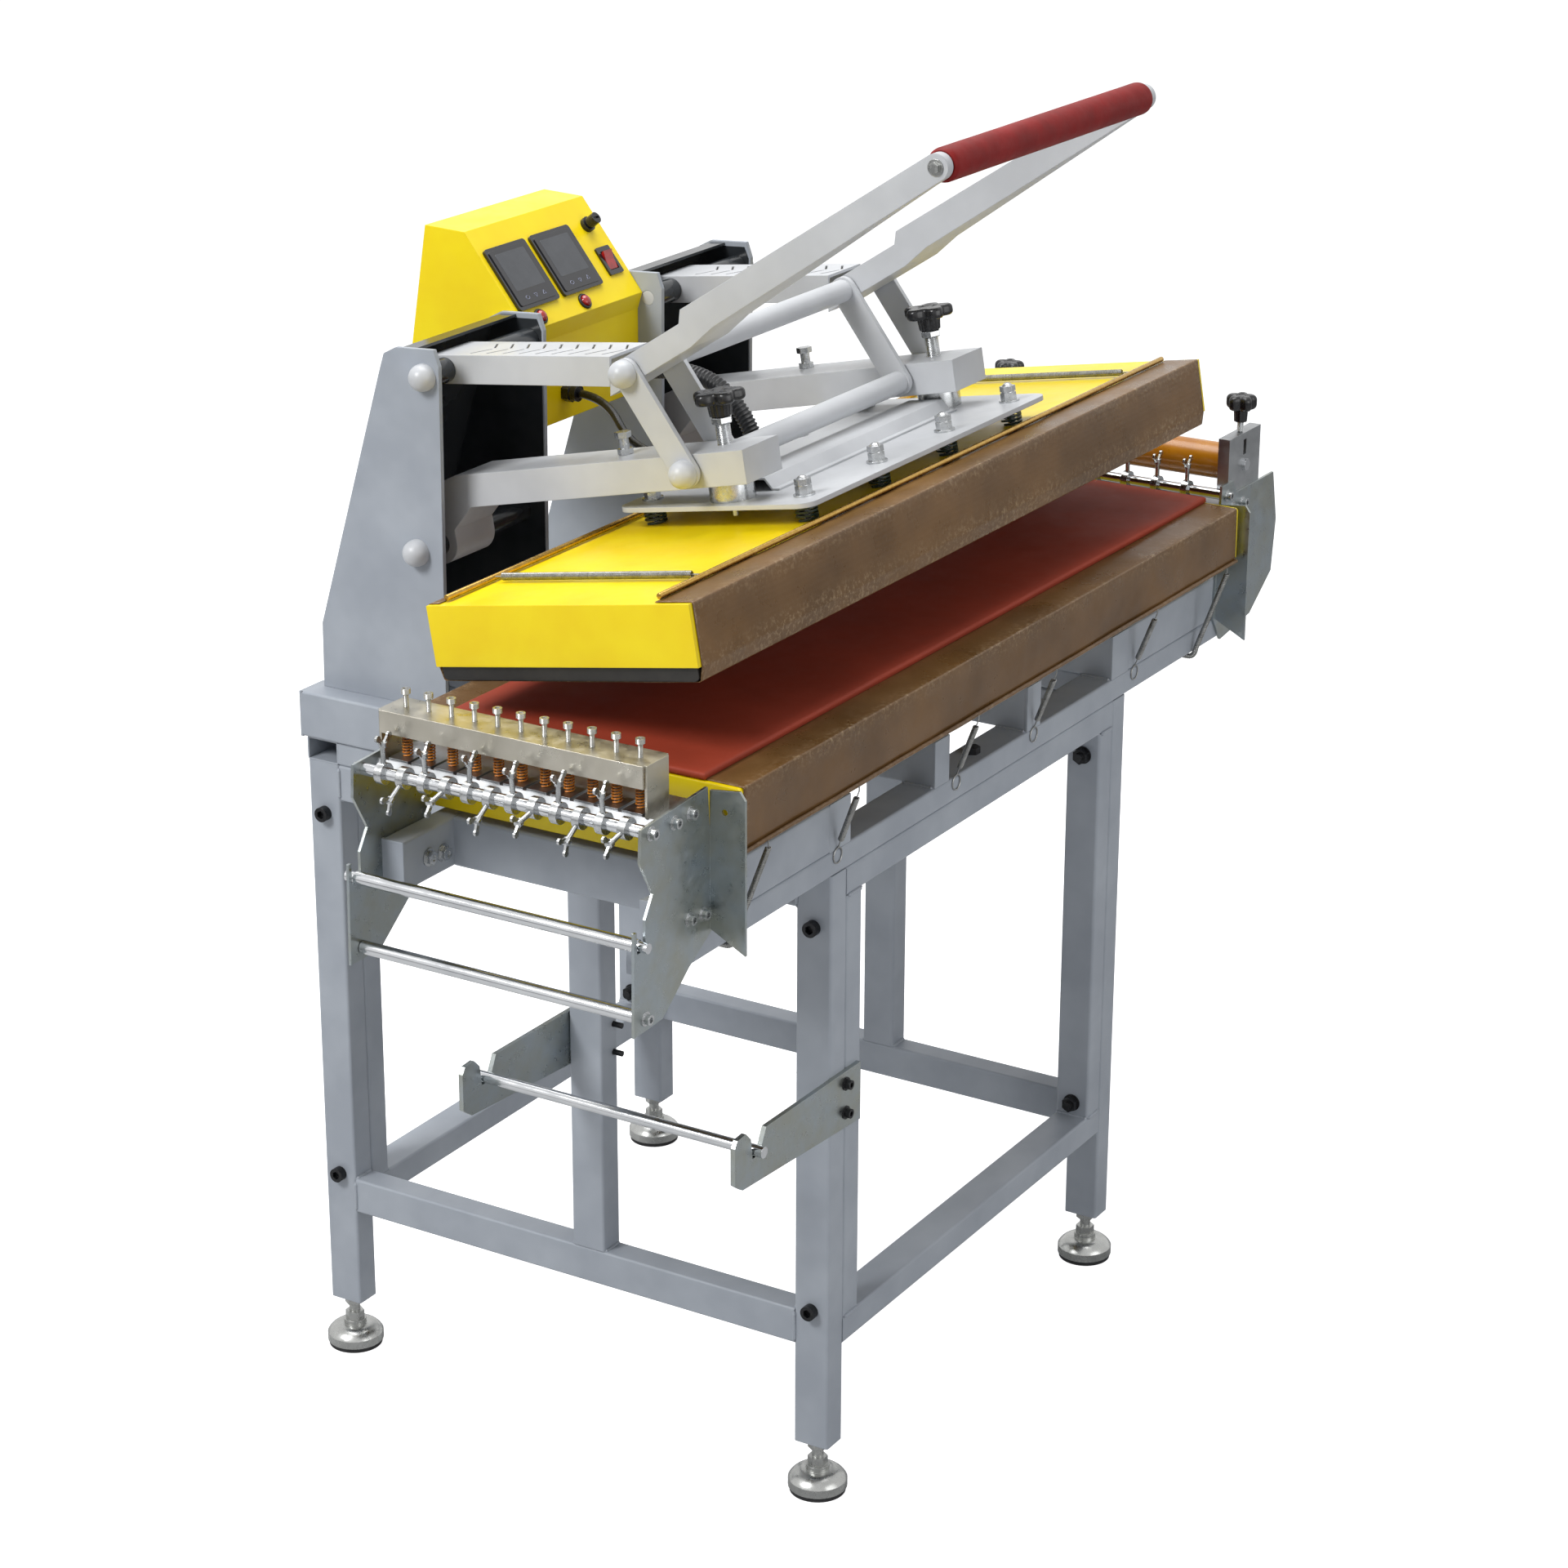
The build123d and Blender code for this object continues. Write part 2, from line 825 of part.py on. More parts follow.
for x in (-330.0, -91.0, 79.0, 319.0):
    top = (x, hook_y - 1.0, bed_cloth_hem - 4)
    foot = (x + 20, anchor[0], anchor[1] + 8)
    body_start = tuple(top[i] + 0.12 * (foot[i] - top[i]) for i in range(3))
    body_end = tuple(top[i] + 0.86 * (foot[i] - top[i]) for i in range(3))
    body = round_path([body_start, body_end], spring_radius, 0)
    wire = round_path([(x, hook_y - 1.0, bed_cloth_hem + 1), top, body_start], wire_radius, 0)
    tail = round_path([body_end, foot], wire_radius, 0)
    loop = wire_ring((x + 20, anchor[0], anchor[1]), 8, (90, 0, 0))
    bed_springs.append(body + wire + tail + loop)
for x, drift in ((-497.0, -10.0), (497.0, -8.0)):
    y = hook_y - 1.5
    points = [
        (x, y, bed_cloth_hem - 6),
        (x + drift, front_face - spring_radius - 1.0, frame_top - spring_radius - 1.0),
        (x + drift, front_face + rail_depth / 2, frame_top - spring_radius - 1.0),
    ]
    body = round_path(points, spring_radius, 9)
    wire = round_path([(x, y, bed_cloth_hem + 1), (x, y, bed_cloth_hem - 7)], wire_radius, 0)
    ring_point = (x + drift, front_face + rail_depth / 2 + 3.5, frame_top - spring_radius - 1.9)
    end_ring = wire_ring(ring_point, 3.0, (0, 90, 0))
    bed_springs.append(body + wire + end_ring)
save("bed_springs", bed_springs)

# Uprights
upright_profile = [
    (154.0, cross_top),
    (312.0, cross_top),
    (311.0, 839.0),
    (225.0, 1121.0),
    (219.0, 1139.0),
    (204.0, 1147.0),
    (157.0, 1150.0),
    (151.0, 1133.0),
]
upright_plates = []
upright_backs = []
for side in (-1, 1):
    for inner in (upright_inner, upright_outer_face):
        low_x = inner if side > 0 else -inner - upright_plate
        holes = [(p1[0], p1[1], pin_radius), (p0[0], p0[1], pin_radius)]
        plate = slab(upright_profile, "x", low_x, low_x + upright_plate, holes)
        upright_plates.append(plate)
    back = ribbon(
        [
            (309.0, cross_top + 0.3),
            (308.0, 838.5),
            (222.0, 1119.5),
            (216.0, 1136.5),
            (203.0, 1143.5),
            (185.0, 1145.0),
        ],
        upright_back_sheet,
        upright_inner_face,
        upright_outer_face,
    )
    upright_backs.append(back if side > 0 else mirrored(back))
save("upright_plates", upright_plates)
save("upright_backs", upright_backs)

# Fixed pivot pins with domed ends and spacer tubes
pivot_pins = []
pin_gap = 0.3
for side, station in ((-1, near_station_x), (1, far_station_x)):
    low, high = sorted((side * upright_inner, side * upright_outer))
    for centre, half, domed in ((p1, channel_half, (side,)), (p0, press_arm_half, (-1, 1))):
        inner = station - half - pin_gap
        outer = station + half + pin_gap
        pivot_pins.append(rod("x", centre, low, high, pin_radius))
        pivot_pins.append(rod("x", centre, low + upright_plate, inner, spacer_radius, pin_radius))
        pivot_pins.append(rod("x", centre, outer, high - upright_plate, spacer_radius, pin_radius))
        for end in domed:
            face = high if end > 0 else low
            pivot_pins.append(placed(dome(), (face, centre[0], centre[1]), (end, 0, 0)))
save("pivot_pins", pivot_pins)

# Lever: slotted channels from the upright pins to the link pins
channel_slope = heading(p1, p2) - 180


def along_channel(distance, lift):
    """Point on the channel, measured forward of p1 and up from its centre line."""
    angle = math.radians(channel_slope)
    return (
        p1[0] - distance * math.cos(angle) + lift * math.sin(angle),
        p1[1] - distance * math.sin(angle) + lift * math.cos(angle),
    )


half_height = channel_height / 2


def channel_front(front_y, lift):
    """Point on the upright front end of the channel."""
    angle = math.radians(channel_slope)
    return (front_y, p1[1] - (front_y - p1[0]) * -math.tan(angle) + lift / math.cos(angle))


def channel_outline(top, bottom, front_y, rear):
    """Side outline of the channel with its rear end cut on a slant."""
    return [
        channel_front(front_y, top),
        channel_front(front_y, bottom),
        along_channel(-rear + 8, bottom),
        along_channel(-rear - 10, top),
    ]


with BuildPart() as channel:
    with BuildSketch(section_plane("x", -channel_half, channel_half)):
        with BuildLine():
            Polyline(*channel_outline(half_height, -half_height, channel_front_y, 12), close=True)
        make_face()
    extrude(amount=channel_width)
    inside = section_plane("x", -channel_half + channel_wall, channel_half)
    with BuildSketch(inside):
        with BuildLine():
            Polyline(
                *channel_outline(
                    half_height - channel_wall, -channel_height, channel_front_y - 1, 40
                ),
                close=True,
            )
        make_face()
    extrude(amount=channel_width - 2 * channel_wall, mode=Mode.SUBTRACT)
    with BuildSketch(section_plane("x", -channel_half - 1, channel_half)):
        with Locations(p1):
            Circle(pin_radius + running_clearance)
    extrude(amount=channel_width + 2, mode=Mode.SUBTRACT)
    for number in range(louvre_count):
        at = along_channel(28 + louvre_pitch * number, half_height)
        for half in (-1, 1):
            with Locations(
                Location((half * 13, at[0], at[1]), (-channel_slope, 0, half * 28))
            ):
                Box(24, 2.2, 3 * channel_wall, mode=Mode.SUBTRACT)
save("lever_channels", [channel.part.moved(Location((x, 0, 0))) for x in linkage_stations])


# Lever: folded arms that carry the grip
def on_arm(distance, lift):
    """Point of the arm, measured back from the grip and up from the arm's top edge."""
    angle = math.radians(arm_slope)
    lift = lift + arm_end_radius
    return (
        grip_y + distance * math.cos(angle) + lift * math.sin(angle),
        grip_z - distance * math.sin(angle) + lift * math.cos(angle),
    )


def arm_rear(lift):
    """Point on the upright rear end of the arm, close in front of the channel."""
    angle = math.radians(arm_slope)
    rear = channel_front_y - 0.3
    reach = rear - grip_y - (lift + arm_end_radius) * math.sin(angle)
    return on_arm(reach / math.cos(angle), lift)


def arm_outline(inset):
    """Side outline of the arm, drawn in from its outside by an inset."""
    top = -lower_arm_drop - inset
    bottom = -lower_arm_drop - lower_arm_depth + inset
    step = inset * 0.5
    return [
        arm_rear(bottom),
        arm_rear(top),
        on_arm(arm_jog_start + step, top),
        on_arm(arm_jog_start - 9 + step, -inset),
        on_arm(0, -inset),
        on_arm(-arm_end_radius + inset, -arm_end_radius),
        on_arm(0, -2 * arm_end_radius + inset),
        on_arm(arm_jog_end - step, -upper_arm_depth + inset),
        on_arm(arm_jog_start - step, bottom),
    ]


def arm_solid(inset):
    """One arm with its flat web at x = 0 and its width towards +X."""
    rear_bottom, rear_top, jog_top, step_top, end_top, end_tip, end_bottom, step_bottom, jog_bottom = (
        arm_outline(inset)
    )
    angle = math.radians(arm_slope)
    with BuildPart() as arm:
        with BuildSketch(section_plane("x", inset, channel_width - inset)):
            with BuildLine():
                Polyline(rear_bottom, rear_top, jog_top, step_top, end_top)
                ThreePointArc(end_top, end_tip, end_bottom)
                Polyline(end_bottom, step_bottom, jog_bottom, rear_bottom)
            make_face()
        extrude(amount=channel_width - 2 * inset)
        above = Plane(
            origin=(0, grip_y, grip_z),
            x_dir=(0, math.cos(angle), -math.sin(angle)),
            z_dir=(0, math.sin(angle), math.cos(angle)),
        )
        with BuildSketch(above):
            with BuildLine():
                Polyline(
                    (-40, inset + 1),
                    (-40, inset - arm_end_width),
                    (arm_end_radius, inset - arm_end_width),
                    (arm_jog_end, inset - channel_width),
                    (600, inset - channel_width - 1),
                    (600, inset + 1),
                    close=True,
                )
            make_face()
        extrude(amount=300, both=True, mode=Mode.INTERSECT)
    return arm.part


lever_arms = []
shaft_hole = rod("x", p2, -1, channel_width + 1, shaft_radius + running_clearance)
arm_shell = drilled(arm_solid(0), [arm_solid(arm_wall), shaft_hole])
near_web = near_station_x - channel_half
far_web = far_station_x - channel_half
for web in (near_web, far_web):
    lever_arms.append(arm_shell.moved(Location((web, 0, 0))))
save("lever_arms", lever_arms)

grip_low = near_web + arm_end_width
grip_high = far_web
grip = (grip_y, grip_z)
grip_screw = socket_screw(7, 3, 0.5)
save(
    "grip_tube",
    [
        rod("x", grip, grip_low, grip_high, grip_tube_radius),
        placed(washer(8, 0, 1.2), (near_web, grip_y, grip_z), (-1, 0, 0)),
        placed(hexagon(5.5, 3.5), (near_web - 1.2, grip_y, grip_z), (-1, 0, 0)),
        placed(washer(8, 0, 1.2), (far_web + arm_end_width, grip_y, grip_z), (1, 0, 0)),
        placed(hexagon(5.5, 3.5), (far_web + arm_end_width + 1.2, grip_y, grip_z), (1, 0, 0)),
    ],
)
save(
    "grip_sleeve",
    [rod("x", grip, grip_low + 1, grip_high - 1, grip_sleeve_radius, grip_tube_radius)],
)

# Down links from the lever to the press arms
bar_direction = math.radians(heading(p2, p3))
bar_side = (-math.sin(bar_direction), math.cos(bar_direction))


def link_bar(low_x):
    """Flat bar with rounded ends round both link pins, from its lower face."""
    half = bar_width / 2
    with BuildPart() as bar:
        with BuildSketch(section_plane("x", low_x, low_x + bar_thickness)):
            with BuildLine():
                Polyline(
                    (p2[0] + half * bar_side[0], p2[1] + half * bar_side[1]),
                    (p3[0] + half * bar_side[0], p3[1] + half * bar_side[1]),
                    (p3[0] - half * bar_side[0], p3[1] - half * bar_side[1]),
                    (p2[0] - half * bar_side[0], p2[1] - half * bar_side[1]),
                    close=True,
                )
            make_face()
            with Locations(p2, p3):
                Circle(half)
                Circle(shaft_radius, mode=Mode.SUBTRACT)
        extrude(amount=bar_thickness)
    return bar.part


down_links = []
for station in linkage_stations:
    down_links.append(link_bar(station - bar_reach - bar_thickness))
    down_links.append(link_bar(station + bar_reach))
save("down_links", down_links)

shaft_low = near_station_x - bar_reach - bar_thickness
shaft_high = far_station_x + bar_reach + bar_thickness
tube_low = near_station_x + bar_reach + bar_thickness
tube_high = far_station_x - bar_reach - bar_thickness
link_shafts = []
link_tubes = []
for centre in (p2, p3):
    link_shafts.append(rod("x", centre, shaft_low, shaft_high, shaft_radius))
    link_shafts.append(placed(dome(), (shaft_high, centre[0], centre[1]), (1, 0, 0)))
    link_shafts.append(placed(dome(), (shaft_low, centre[0], centre[1]), (-1, 0, 0)))
    link_tubes.append(rod("x", centre, tube_low, tube_high, link_tube_radius, shaft_radius))
save("link_shafts", link_shafts)
save("link_tubes", link_tubes)

# Press arms, closed place
slope = math.tan(math.radians(press_arm_slope))


def arm_line(y, lift):
    """Height of a line along the press arm, above its centre line."""
    return p3_closed[1] - (y - p3_closed[0]) * slope + lift


def press_arm_section(inset):
    """Side outline of the press arm: a straight beam bent down to p0."""
    half = press_arm_height / 2 - inset
    front = press_arm_front + inset
    rear = p0[0] + boss_radius - inset
    bend = press_arm_bend_y
    return [
        (front, arm_line(front, half)),
        (front, arm_line(front, -half)),
        (bend - 14, arm_line(bend - 14, -half)),
        (p0[0] - boss_radius + inset, p0[1] + 14),
        (p0[0] - boss_radius + inset, p0[1]),
        (rear, p0[1]),
        (rear, p0[1] + 30),
        (bend + 22, arm_line(bend + 22, half - 6)),
        (bend, arm_line(bend, half)),
    ]


with BuildPart() as press_arm:
    with BuildSketch(section_plane("x", -press_arm_half, press_arm_half)):
        with BuildLine():
            Polyline(*press_arm_section(0), close=True)
        make_face()
        with Locations(p0):
            Circle(boss_radius)
    extrude(amount=press_arm_width)
    with BuildSketch(section_plane("x", -press_arm_half + arm_wall, press_arm_half)):
        with BuildLine():
            Polyline(*press_arm_section(arm_wall), close=True)
        make_face()
    extrude(amount=press_arm_width - 2 * arm_wall, mode=Mode.SUBTRACT)
    with BuildSketch(section_plane("x", -press_arm_half - 1, press_arm_half)):
        with Locations(p0):
            Circle(pin_radius + running_clearance)
        with Locations(p3_closed):
            Circle(open_hole_radius)
    extrude(amount=press_arm_width + 2, mode=Mode.SUBTRACT)
    with BuildSketch(Plane.XY.offset(plate_bottom)):
        with Locations((screw_offset, screw_y)):
            Circle(screw_radius + running_clearance)
    extrude(amount=90, mode=Mode.SUBTRACT)
save("press_arms", [opened(press_arm.part.moved(Location((x, 0, 0)))) for x in linkage_stations])

# Stop bolts on the press arms
arm_top = arm_line(screw_y, press_arm_height / 2)
head_bolts = []
for x, y in ((near_station_x, -42.0), (far_station_x + 12, 8.0)):
    top = arm_line(y, press_arm_height / 2) + 0.4
    head_bolts.append(hexagon(8, 6).moved(Location((x, y, top))))
    head_bolts.append(rod("z", (x, y), top + 6, top + 17, 5))
    head_bolts.append(hexagon(8.5, 6).moved(Location((x, y, top + 17))))

# Pressure screws with star knobs
plate_top = plate_bottom + plate_thickness
knob_seat = arm_top + 28.0
knob_nut_height = 7.0
knob_nut_radius = 11.5
tip_length = 12.0
for name, x in zip(("near", "far"), screw_places):
    screw = rod("z", (x, screw_y), plate_top + 0.3, knob_seat + 0.8 * knob_height, screw_radius)
    cut = rod("z", (x, screw_y), knob_seat - 1, knob_seat + 0.8 * knob_height, screw_radius)
    knob = star_knob(knob_radius, knob_height, 0).moved(Location((x, screw_y, knob_seat)))
    nut = hexagon(knob_nut_radius, knob_nut_height, screw_radius)
    nut = nut.moved(Location((x, screw_y, knob_seat - knob_nut_height - 0.3)))
    save(name + "_pressure_knob", [opened(screw), opened(drilled(knob, [cut])), opened(nut)])

# Floating plate hung under the press arms
rib_low = screw_y - rib_width / 2
with BuildPart() as float_plate:
    with BuildSketch(Plane.XY.offset(plate_bottom)):
        with Locations((0, (plate_front + plate_back) / 2)):
            RectangleRounded(2 * plate_half_length, plate_back - plate_front, 18)
        for y in stud_rows:
            with Locations([(x, y) for x in stud_columns]):
                Circle(stud_radius + 0.3, mode=Mode.SUBTRACT)
    extrude(amount=plate_thickness)
rib_gap = collar_radius + 6
rib = ribbon(
    [
        (rib_low - 8, plate_top + 1),
        (rib_low, plate_top + 1),
        (rib_low + 8, plate_top + rib_height),
        (rib_low + rib_width - 8, plate_top + rib_height),
        (rib_low + rib_width, plate_top + 1),
        (rib_low + rib_width + 8, plate_top + 1),
    ],
    2.0,
    screw_places[0] + rib_gap,
    screw_places[1] - rib_gap,
)
save("float_plate", [opened(float_plate.part), opened(rib)])

head_hardware = [opened(piece) for piece in head_bolts]
for x in screw_places:
    collar = rod(
        "z",
        (x, screw_y),
        plate_top,
        plate_top + collar_height,
        collar_radius,
        screw_radius + running_clearance,
    )
    head_hardware.append(opened(collar))
    tip = rod("z", (x, screw_y), plate_bottom - tip_length, plate_bottom, 3)
    head_hardware.append(opened(tip))
save("head_hardware", head_hardware)

# Studs with acorn nuts, and the springs round them
float_studs = []
float_springs = []
spring_height = plate_bottom - head_top
acorn_radius = 8.5


def acorn_nut(lift):
    """Acorn nut over a plain nut that fills the lift, standing on the origin."""
    with BuildPart() as shape:
        if lift > 0:
            with BuildSketch():
                RegularPolygon(acorn_radius, 6)
            extrude(amount=lift - 1)
            Cylinder(0.8 * acorn_radius, lift, align=(Align.CENTER, Align.CENTER, Align.MIN))
        with BuildSketch(Plane.XY.offset(lift)):
            RegularPolygon(acorn_radius, 6)
        extrude(amount=6)
        with Locations((0, 0, lift + 6)):
            Sphere(0.8 * acorn_radius, arc_size1=0)
    return shape.part


for y, lift in zip(stud_rows, (9.0, 0.0)):
    nut = acorn_nut(lift)
    for x in stud_columns:
        studs = [
            rod("z", (x, y), head_top, plate_top + 2, stud_radius),
            rod("z", (x, y), plate_top, plate_top + 2, 11, stud_radius),
            nut.moved(Location((x, y, plate_top + 2))),
        ]
        float_studs.extend(opened(piece) for piece in studs)
        spring = coil(float_spring_radius, float_spring_wire, spring_height, float_spring_turns)
        float_springs.append(opened(spring.moved(Location((x, y, head_top)))))
save("float_studs", float_studs)
save("float_springs", float_springs)
gap = coil_gap(float_spring_radius, float_spring_wire, spring_height, float_spring_turns)
print("float spring least gap", round(gap, 2))

# Upper platen
head_half = head_length / 2
with BuildPart() as head_cover:
    with Locations((0, (head_front + head_back) / 2, (head_bottom + head_top) / 2)):
        Box(head_length, head_back - head_front, head_top - head_bottom)
    with Locations((0, (head_front + head_back) / 2, (head_bottom + head_top) / 2 - bed_sheet)):
        Box(
            head_length - 2 * bed_sheet,
            head_back - head_front - 2 * bed_sheet,
            head_top - head_bottom,
            mode=Mode.SUBTRACT,
        )
save("head_cover", [opened(head_cover.part)])

heater_low = head_bottom - heater_thickness
with BuildPart() as head_plate:
    with Locations((0, (head_front + head_back) / 2, head_bottom - heater_thickness / 2)):
        Box(
            head_length - 2 * heater_inset,
            head_back - head_front - 2 * heater_inset,
            heater_thickness,
        )
    fillet(head_plate.edges().group_by(Axis.Z)[0].filter_by(Axis.X), 5)
    core_place = (0, (head_front + head_back) / 2, head_bottom + heater_core / 2)
    with Locations(core_place):
        Box(head_length - 12, head_back - head_front - 12, heater_core)
    with BuildSketch(Plane.XY.offset(head_bottom + heater_core)):
        for y in stud_rows:
            with Locations([(x, y) for x in stud_columns]):
                Circle(stud_radius + 3)
    extrude(amount=head_top - bed_sheet - head_bottom - heater_core)
save("head_plate", [opened(head_plate.part)])

drape = cloth_gap + cloth_thickness / 2
head_cloth_half = head_half - cloth_end_margin
head_cloth = ribbon(
    [
        (head_hem_back, head_top + drape),
        (head_back + drape, head_top + drape),
        (head_back + drape, head_bottom),
        (head_back - heater_inset + drape, heater_low - drape),
        (head_front + heater_inset - drape, heater_low - drape),
        (head_front - drape, head_bottom),
        (head_front - drape, head_top + drape),
        (head_hem_front, head_top + drape),
    ],
    cloth_thickness,
    -head_cloth_half,
    head_cloth_half,
)
save("head_cloth", [opened(head_cloth)])

# Springs across the top of the upper cloth, and the rods in its hems
rod_z = head_top + cloth_gap + cloth_thickness + hem_rod_radius + 0.3
head_cloth_springs = []
for y in (head_hem_front, head_hem_back - hem_rod_radius - 0.5):
    head_cloth_springs.append(
        rod("x", (y, rod_z), -head_cloth_half + 8, head_cloth_half - 8, hem_rod_radius)
    )
for side in (-1, 1):
    x = side * head_spring_x
    low = head_hem_front + hem_rod_radius + 1.0
    high = head_hem_back - 2 * hem_rod_radius - 1.5
    body = rod("y", (x, rod_z + 1), low + 8, high - 8, head_spring_radius)
    hook_front = rod("y", (x, rod_z + 1), low - 0.9, low + 8, 1.0)
    hook_back = rod("y", (x, rod_z + 1), high - 8, high + 0.9, 1.0)
    head_cloth_springs.append(body + hook_front + hook_back)
save("head_cloth_springs", [opened(piece) for piece in head_cloth_springs])

# Control box between the uprights
box_profile = [
    (182.0, 1016.0),
    (182.0, 1108.0),
    (176.0, 1126.8),
    (253.0, 1224.0),
    (303.0, 1226.0),
    (325.0, 1092.0),
    (318.0, 1016.0),
]
box_outside = slab(box_profile, "x", -box_half_width, box_half_width)
with BuildPart() as box_inside:
    with BuildSketch(section_plane("x", -box_half_width + box_sheet, box_half_width)):
        with BuildLine():
            Polyline(*box_profile, close=True)
        make_face()
        offset(amount=-box_sheet, kind=Kind.INTERSECTION, mode=Mode.REPLACE)
    extrude(amount=2 * (box_half_width - box_sheet))
panel_slope = heading(box_profile[2], box_profile[3])
panel_normal = (0, -math.sin(math.radians(panel_slope)), math.cos(math.radians(panel_slope)))


def panel_plane(x, share):
    """Plane on the sloped panel, a share of the way from its foot to its top."""
    foot, head = box_profile[2], box_profile[3]
    y = foot[0] + share * (head[0] - foot[0])
    z = foot[1] + share * (head[1] - foot[1])
    return Plane(origin=(x, y, z), x_dir=(1, 0, 0), z_dir=panel_normal)


controller_size = (73.0, 75.0)
controller_x = (-66.0, 16.0)
controller_share = 0.485
rocker_x = 86.0
lamp_x = (-74.0, 8.0)
lamp_share = 0.09
rocker_share = 0.365
fuse_share = 0.73
with BuildPart() as control_box:
    add(box_outside)
    add(box_inside.part, mode=Mode.SUBTRACT)
    with BuildSketch(panel_plane(rocker_x, rocker_share)):
        Rectangle(18, 25)
    extrude(amount=-6, mode=Mode.SUBTRACT)
save("control_box", [control_box.part])

# Instruments on the sloped panel
controllers = []
for x in controller_x:
    with BuildPart() as controller:
        with BuildSketch(panel_plane(x, controller_share)):
            RectangleRounded(*controller_size, 4)
        extrude(amount=3.5)
        with BuildSketch(panel_plane(x, controller_share).offset(3.5)):
            RectangleRounded(controller_size[0] - 8, controller_size[1] - 8, 3)
        extrude(amount=1.2)
    controllers.append(controller.part)
with BuildPart() as rocker_frame:
    with BuildSketch(panel_plane(rocker_x, rocker_share)):
        RectangleRounded(25, 34, 2)
        Rectangle(16, 23, mode=Mode.SUBTRACT)
    extrude(amount=2.5)
    with BuildSketch(panel_plane(rocker_x, rocker_share).offset(-14)):
        Rectangle(17.6, 24.6)
        Rectangle(16, 23, mode=Mode.SUBTRACT)
    extrude(amount=14)
    with BuildSketch(panel_plane(rocker_x, rocker_share).offset(-16)):
        Rectangle(17.6, 24.6)
    extrude(amount=2)
controllers.append(rocker_frame.part)
save("controllers", controllers)

rocker_plane = panel_plane(rocker_x, rocker_share)
with BuildPart() as rocker:
    with BuildSketch(
        Plane(origin=rocker_plane.from_local_coords((-7.7, 0, 0)), x_dir=rocker_plane.y_dir,
              z_dir=rocker_plane.x_dir)
    ):
        with BuildLine():
            Polyline((-10.5, 1.5), (0, 3.0), (10.2, 7.0), (10.2, 4.0), (3.0, -3.0),
                     (-3.0, -3.0), (-10.5, -1.0), close=True)
        make_face()
    extrude(amount=15.4)
save("power_rocker", [rocker.part])
rocker_axis = rocker_plane.from_local_coords((0, 0, 0))
print("rocker axis", [round(value, 2) for value in rocker_axis])

lamps = []
for x in lamp_x:
    lamp_plane = panel_plane(x, lamp_share)
    with BuildPart() as lamp:
        with BuildSketch(lamp_plane):
            Circle(9)
        extrude(amount=3)
        with BuildSketch(lamp_plane.offset(3)):
            Circle(6.5)
        extrude(amount=4)
        chamfer(lamp.faces().sort_by(Axis(lamp_plane.origin, panel_normal))[-1].edges(), 1.5)
    lamps.append(lamp.part)
save("indicator_lamps", lamps)

fuse_plane = panel_plane(rocker_x, fuse_share)
with BuildPart() as fuse:
    with BuildSketch(fuse_plane):
        Circle(8.5)
    extrude(amount=5)
with BuildPart() as fuse_cap:
    with BuildSketch(fuse_plane.offset(5.2)):
        Circle(6.5)
    extrude(amount=12)
    with BuildSketch(fuse_plane.offset(17.2)):
        Rectangle(9, 2.5)
    extrude(amount=-2, mode=Mode.SUBTRACT)
save("fuse_cap", [fuse_cap.part])
print("fuse axis", [round(value, 2) for value in fuse_plane.origin])
print("panel normal", [round(value, 5) for value in panel_normal])

# Cable glands and the two leads to the upper platen
gland_x = -31.0
gland_z = 1046.0
hose_gland_x = -85.0
hose_gland_z = 1088.0
box_front = box_profile[0][0]
glands = [
    placed(hexagon(11, 9), (gland_x, box_front, gland_z), (0, -1, 0)),
    placed(washer(9, 0, 8), (gland_x, box_front - 9, gland_z), (0, -1, 0)),
    placed(hexagon(14, 8), (hose_gland_x, box_front, hose_gland_z), (0, -1, 0)),
    placed(hexagon(11, 9), (0, box_profile[5][0] - 2.0, 1055.0), (0, 1, 0)),
]
save("cable_glands", glands + [fuse.part])

lead_radius = 4.5
deck = head_top + 0.4


def open_point(x, y, z):
    """Closed place of the head moved to the open one."""
    at = turned((y, z), p0, -head_travel)
    return (x, at[0], at[1])


lead_x = -120.0
lead_points = [
    (gland_x, box_front - 17.3, gland_z),
    (gland_x, box_front - 52, gland_z),
    (-95.0, 58.0, gland_z - 28),
    open_point(lead_x, -28.0, head_top + 44),
    open_point(lead_x, -28.0, deck),
]
lead_bend = 45.0
save("platen_lead", [round_path(lead_points, lead_radius, lead_bend)])

hose_bend = 45.0
hose_outer = 9.5
hose_root = 7.8
hose_bore = 6.3
hose_pitch = 5.0
hose_foot_y = -105.0
hose_points = [
    (hose_gland_x, box_front - 8.3, hose_gland_z),
    (hose_gland_x, box_front - 80, hose_gland_z),
    (hose_gland_x, -25.0, hose_gland_z + 24),
    open_point(hose_gland_x, hose_foot_y, plate_top + 44),
    open_point(hose_gland_x, hose_foot_y, plate_top + 0.3),
]
with BuildLine() as hose_path:
    FilletPolyline(*hose_points, radius=hose_bend)
hose_line = hose_path.wire()
hose_length = hose_line.length
rib_count = int((hose_length - 4 * hose_outer) / hose_pitch)
rib_start = (hose_length - rib_count * hose_pitch) / 2


def hose_circle(distance, radius):
    """Section circle of the hose a distance along its route."""
    share = distance / hose_length
    plane = Plane(origin=hose_line @ share, x_dir=(1, 0, 0), z_dir=hose_line % share)
    with BuildSketch(plane) as circle:
        Circle(radius)
    return circle.sketch


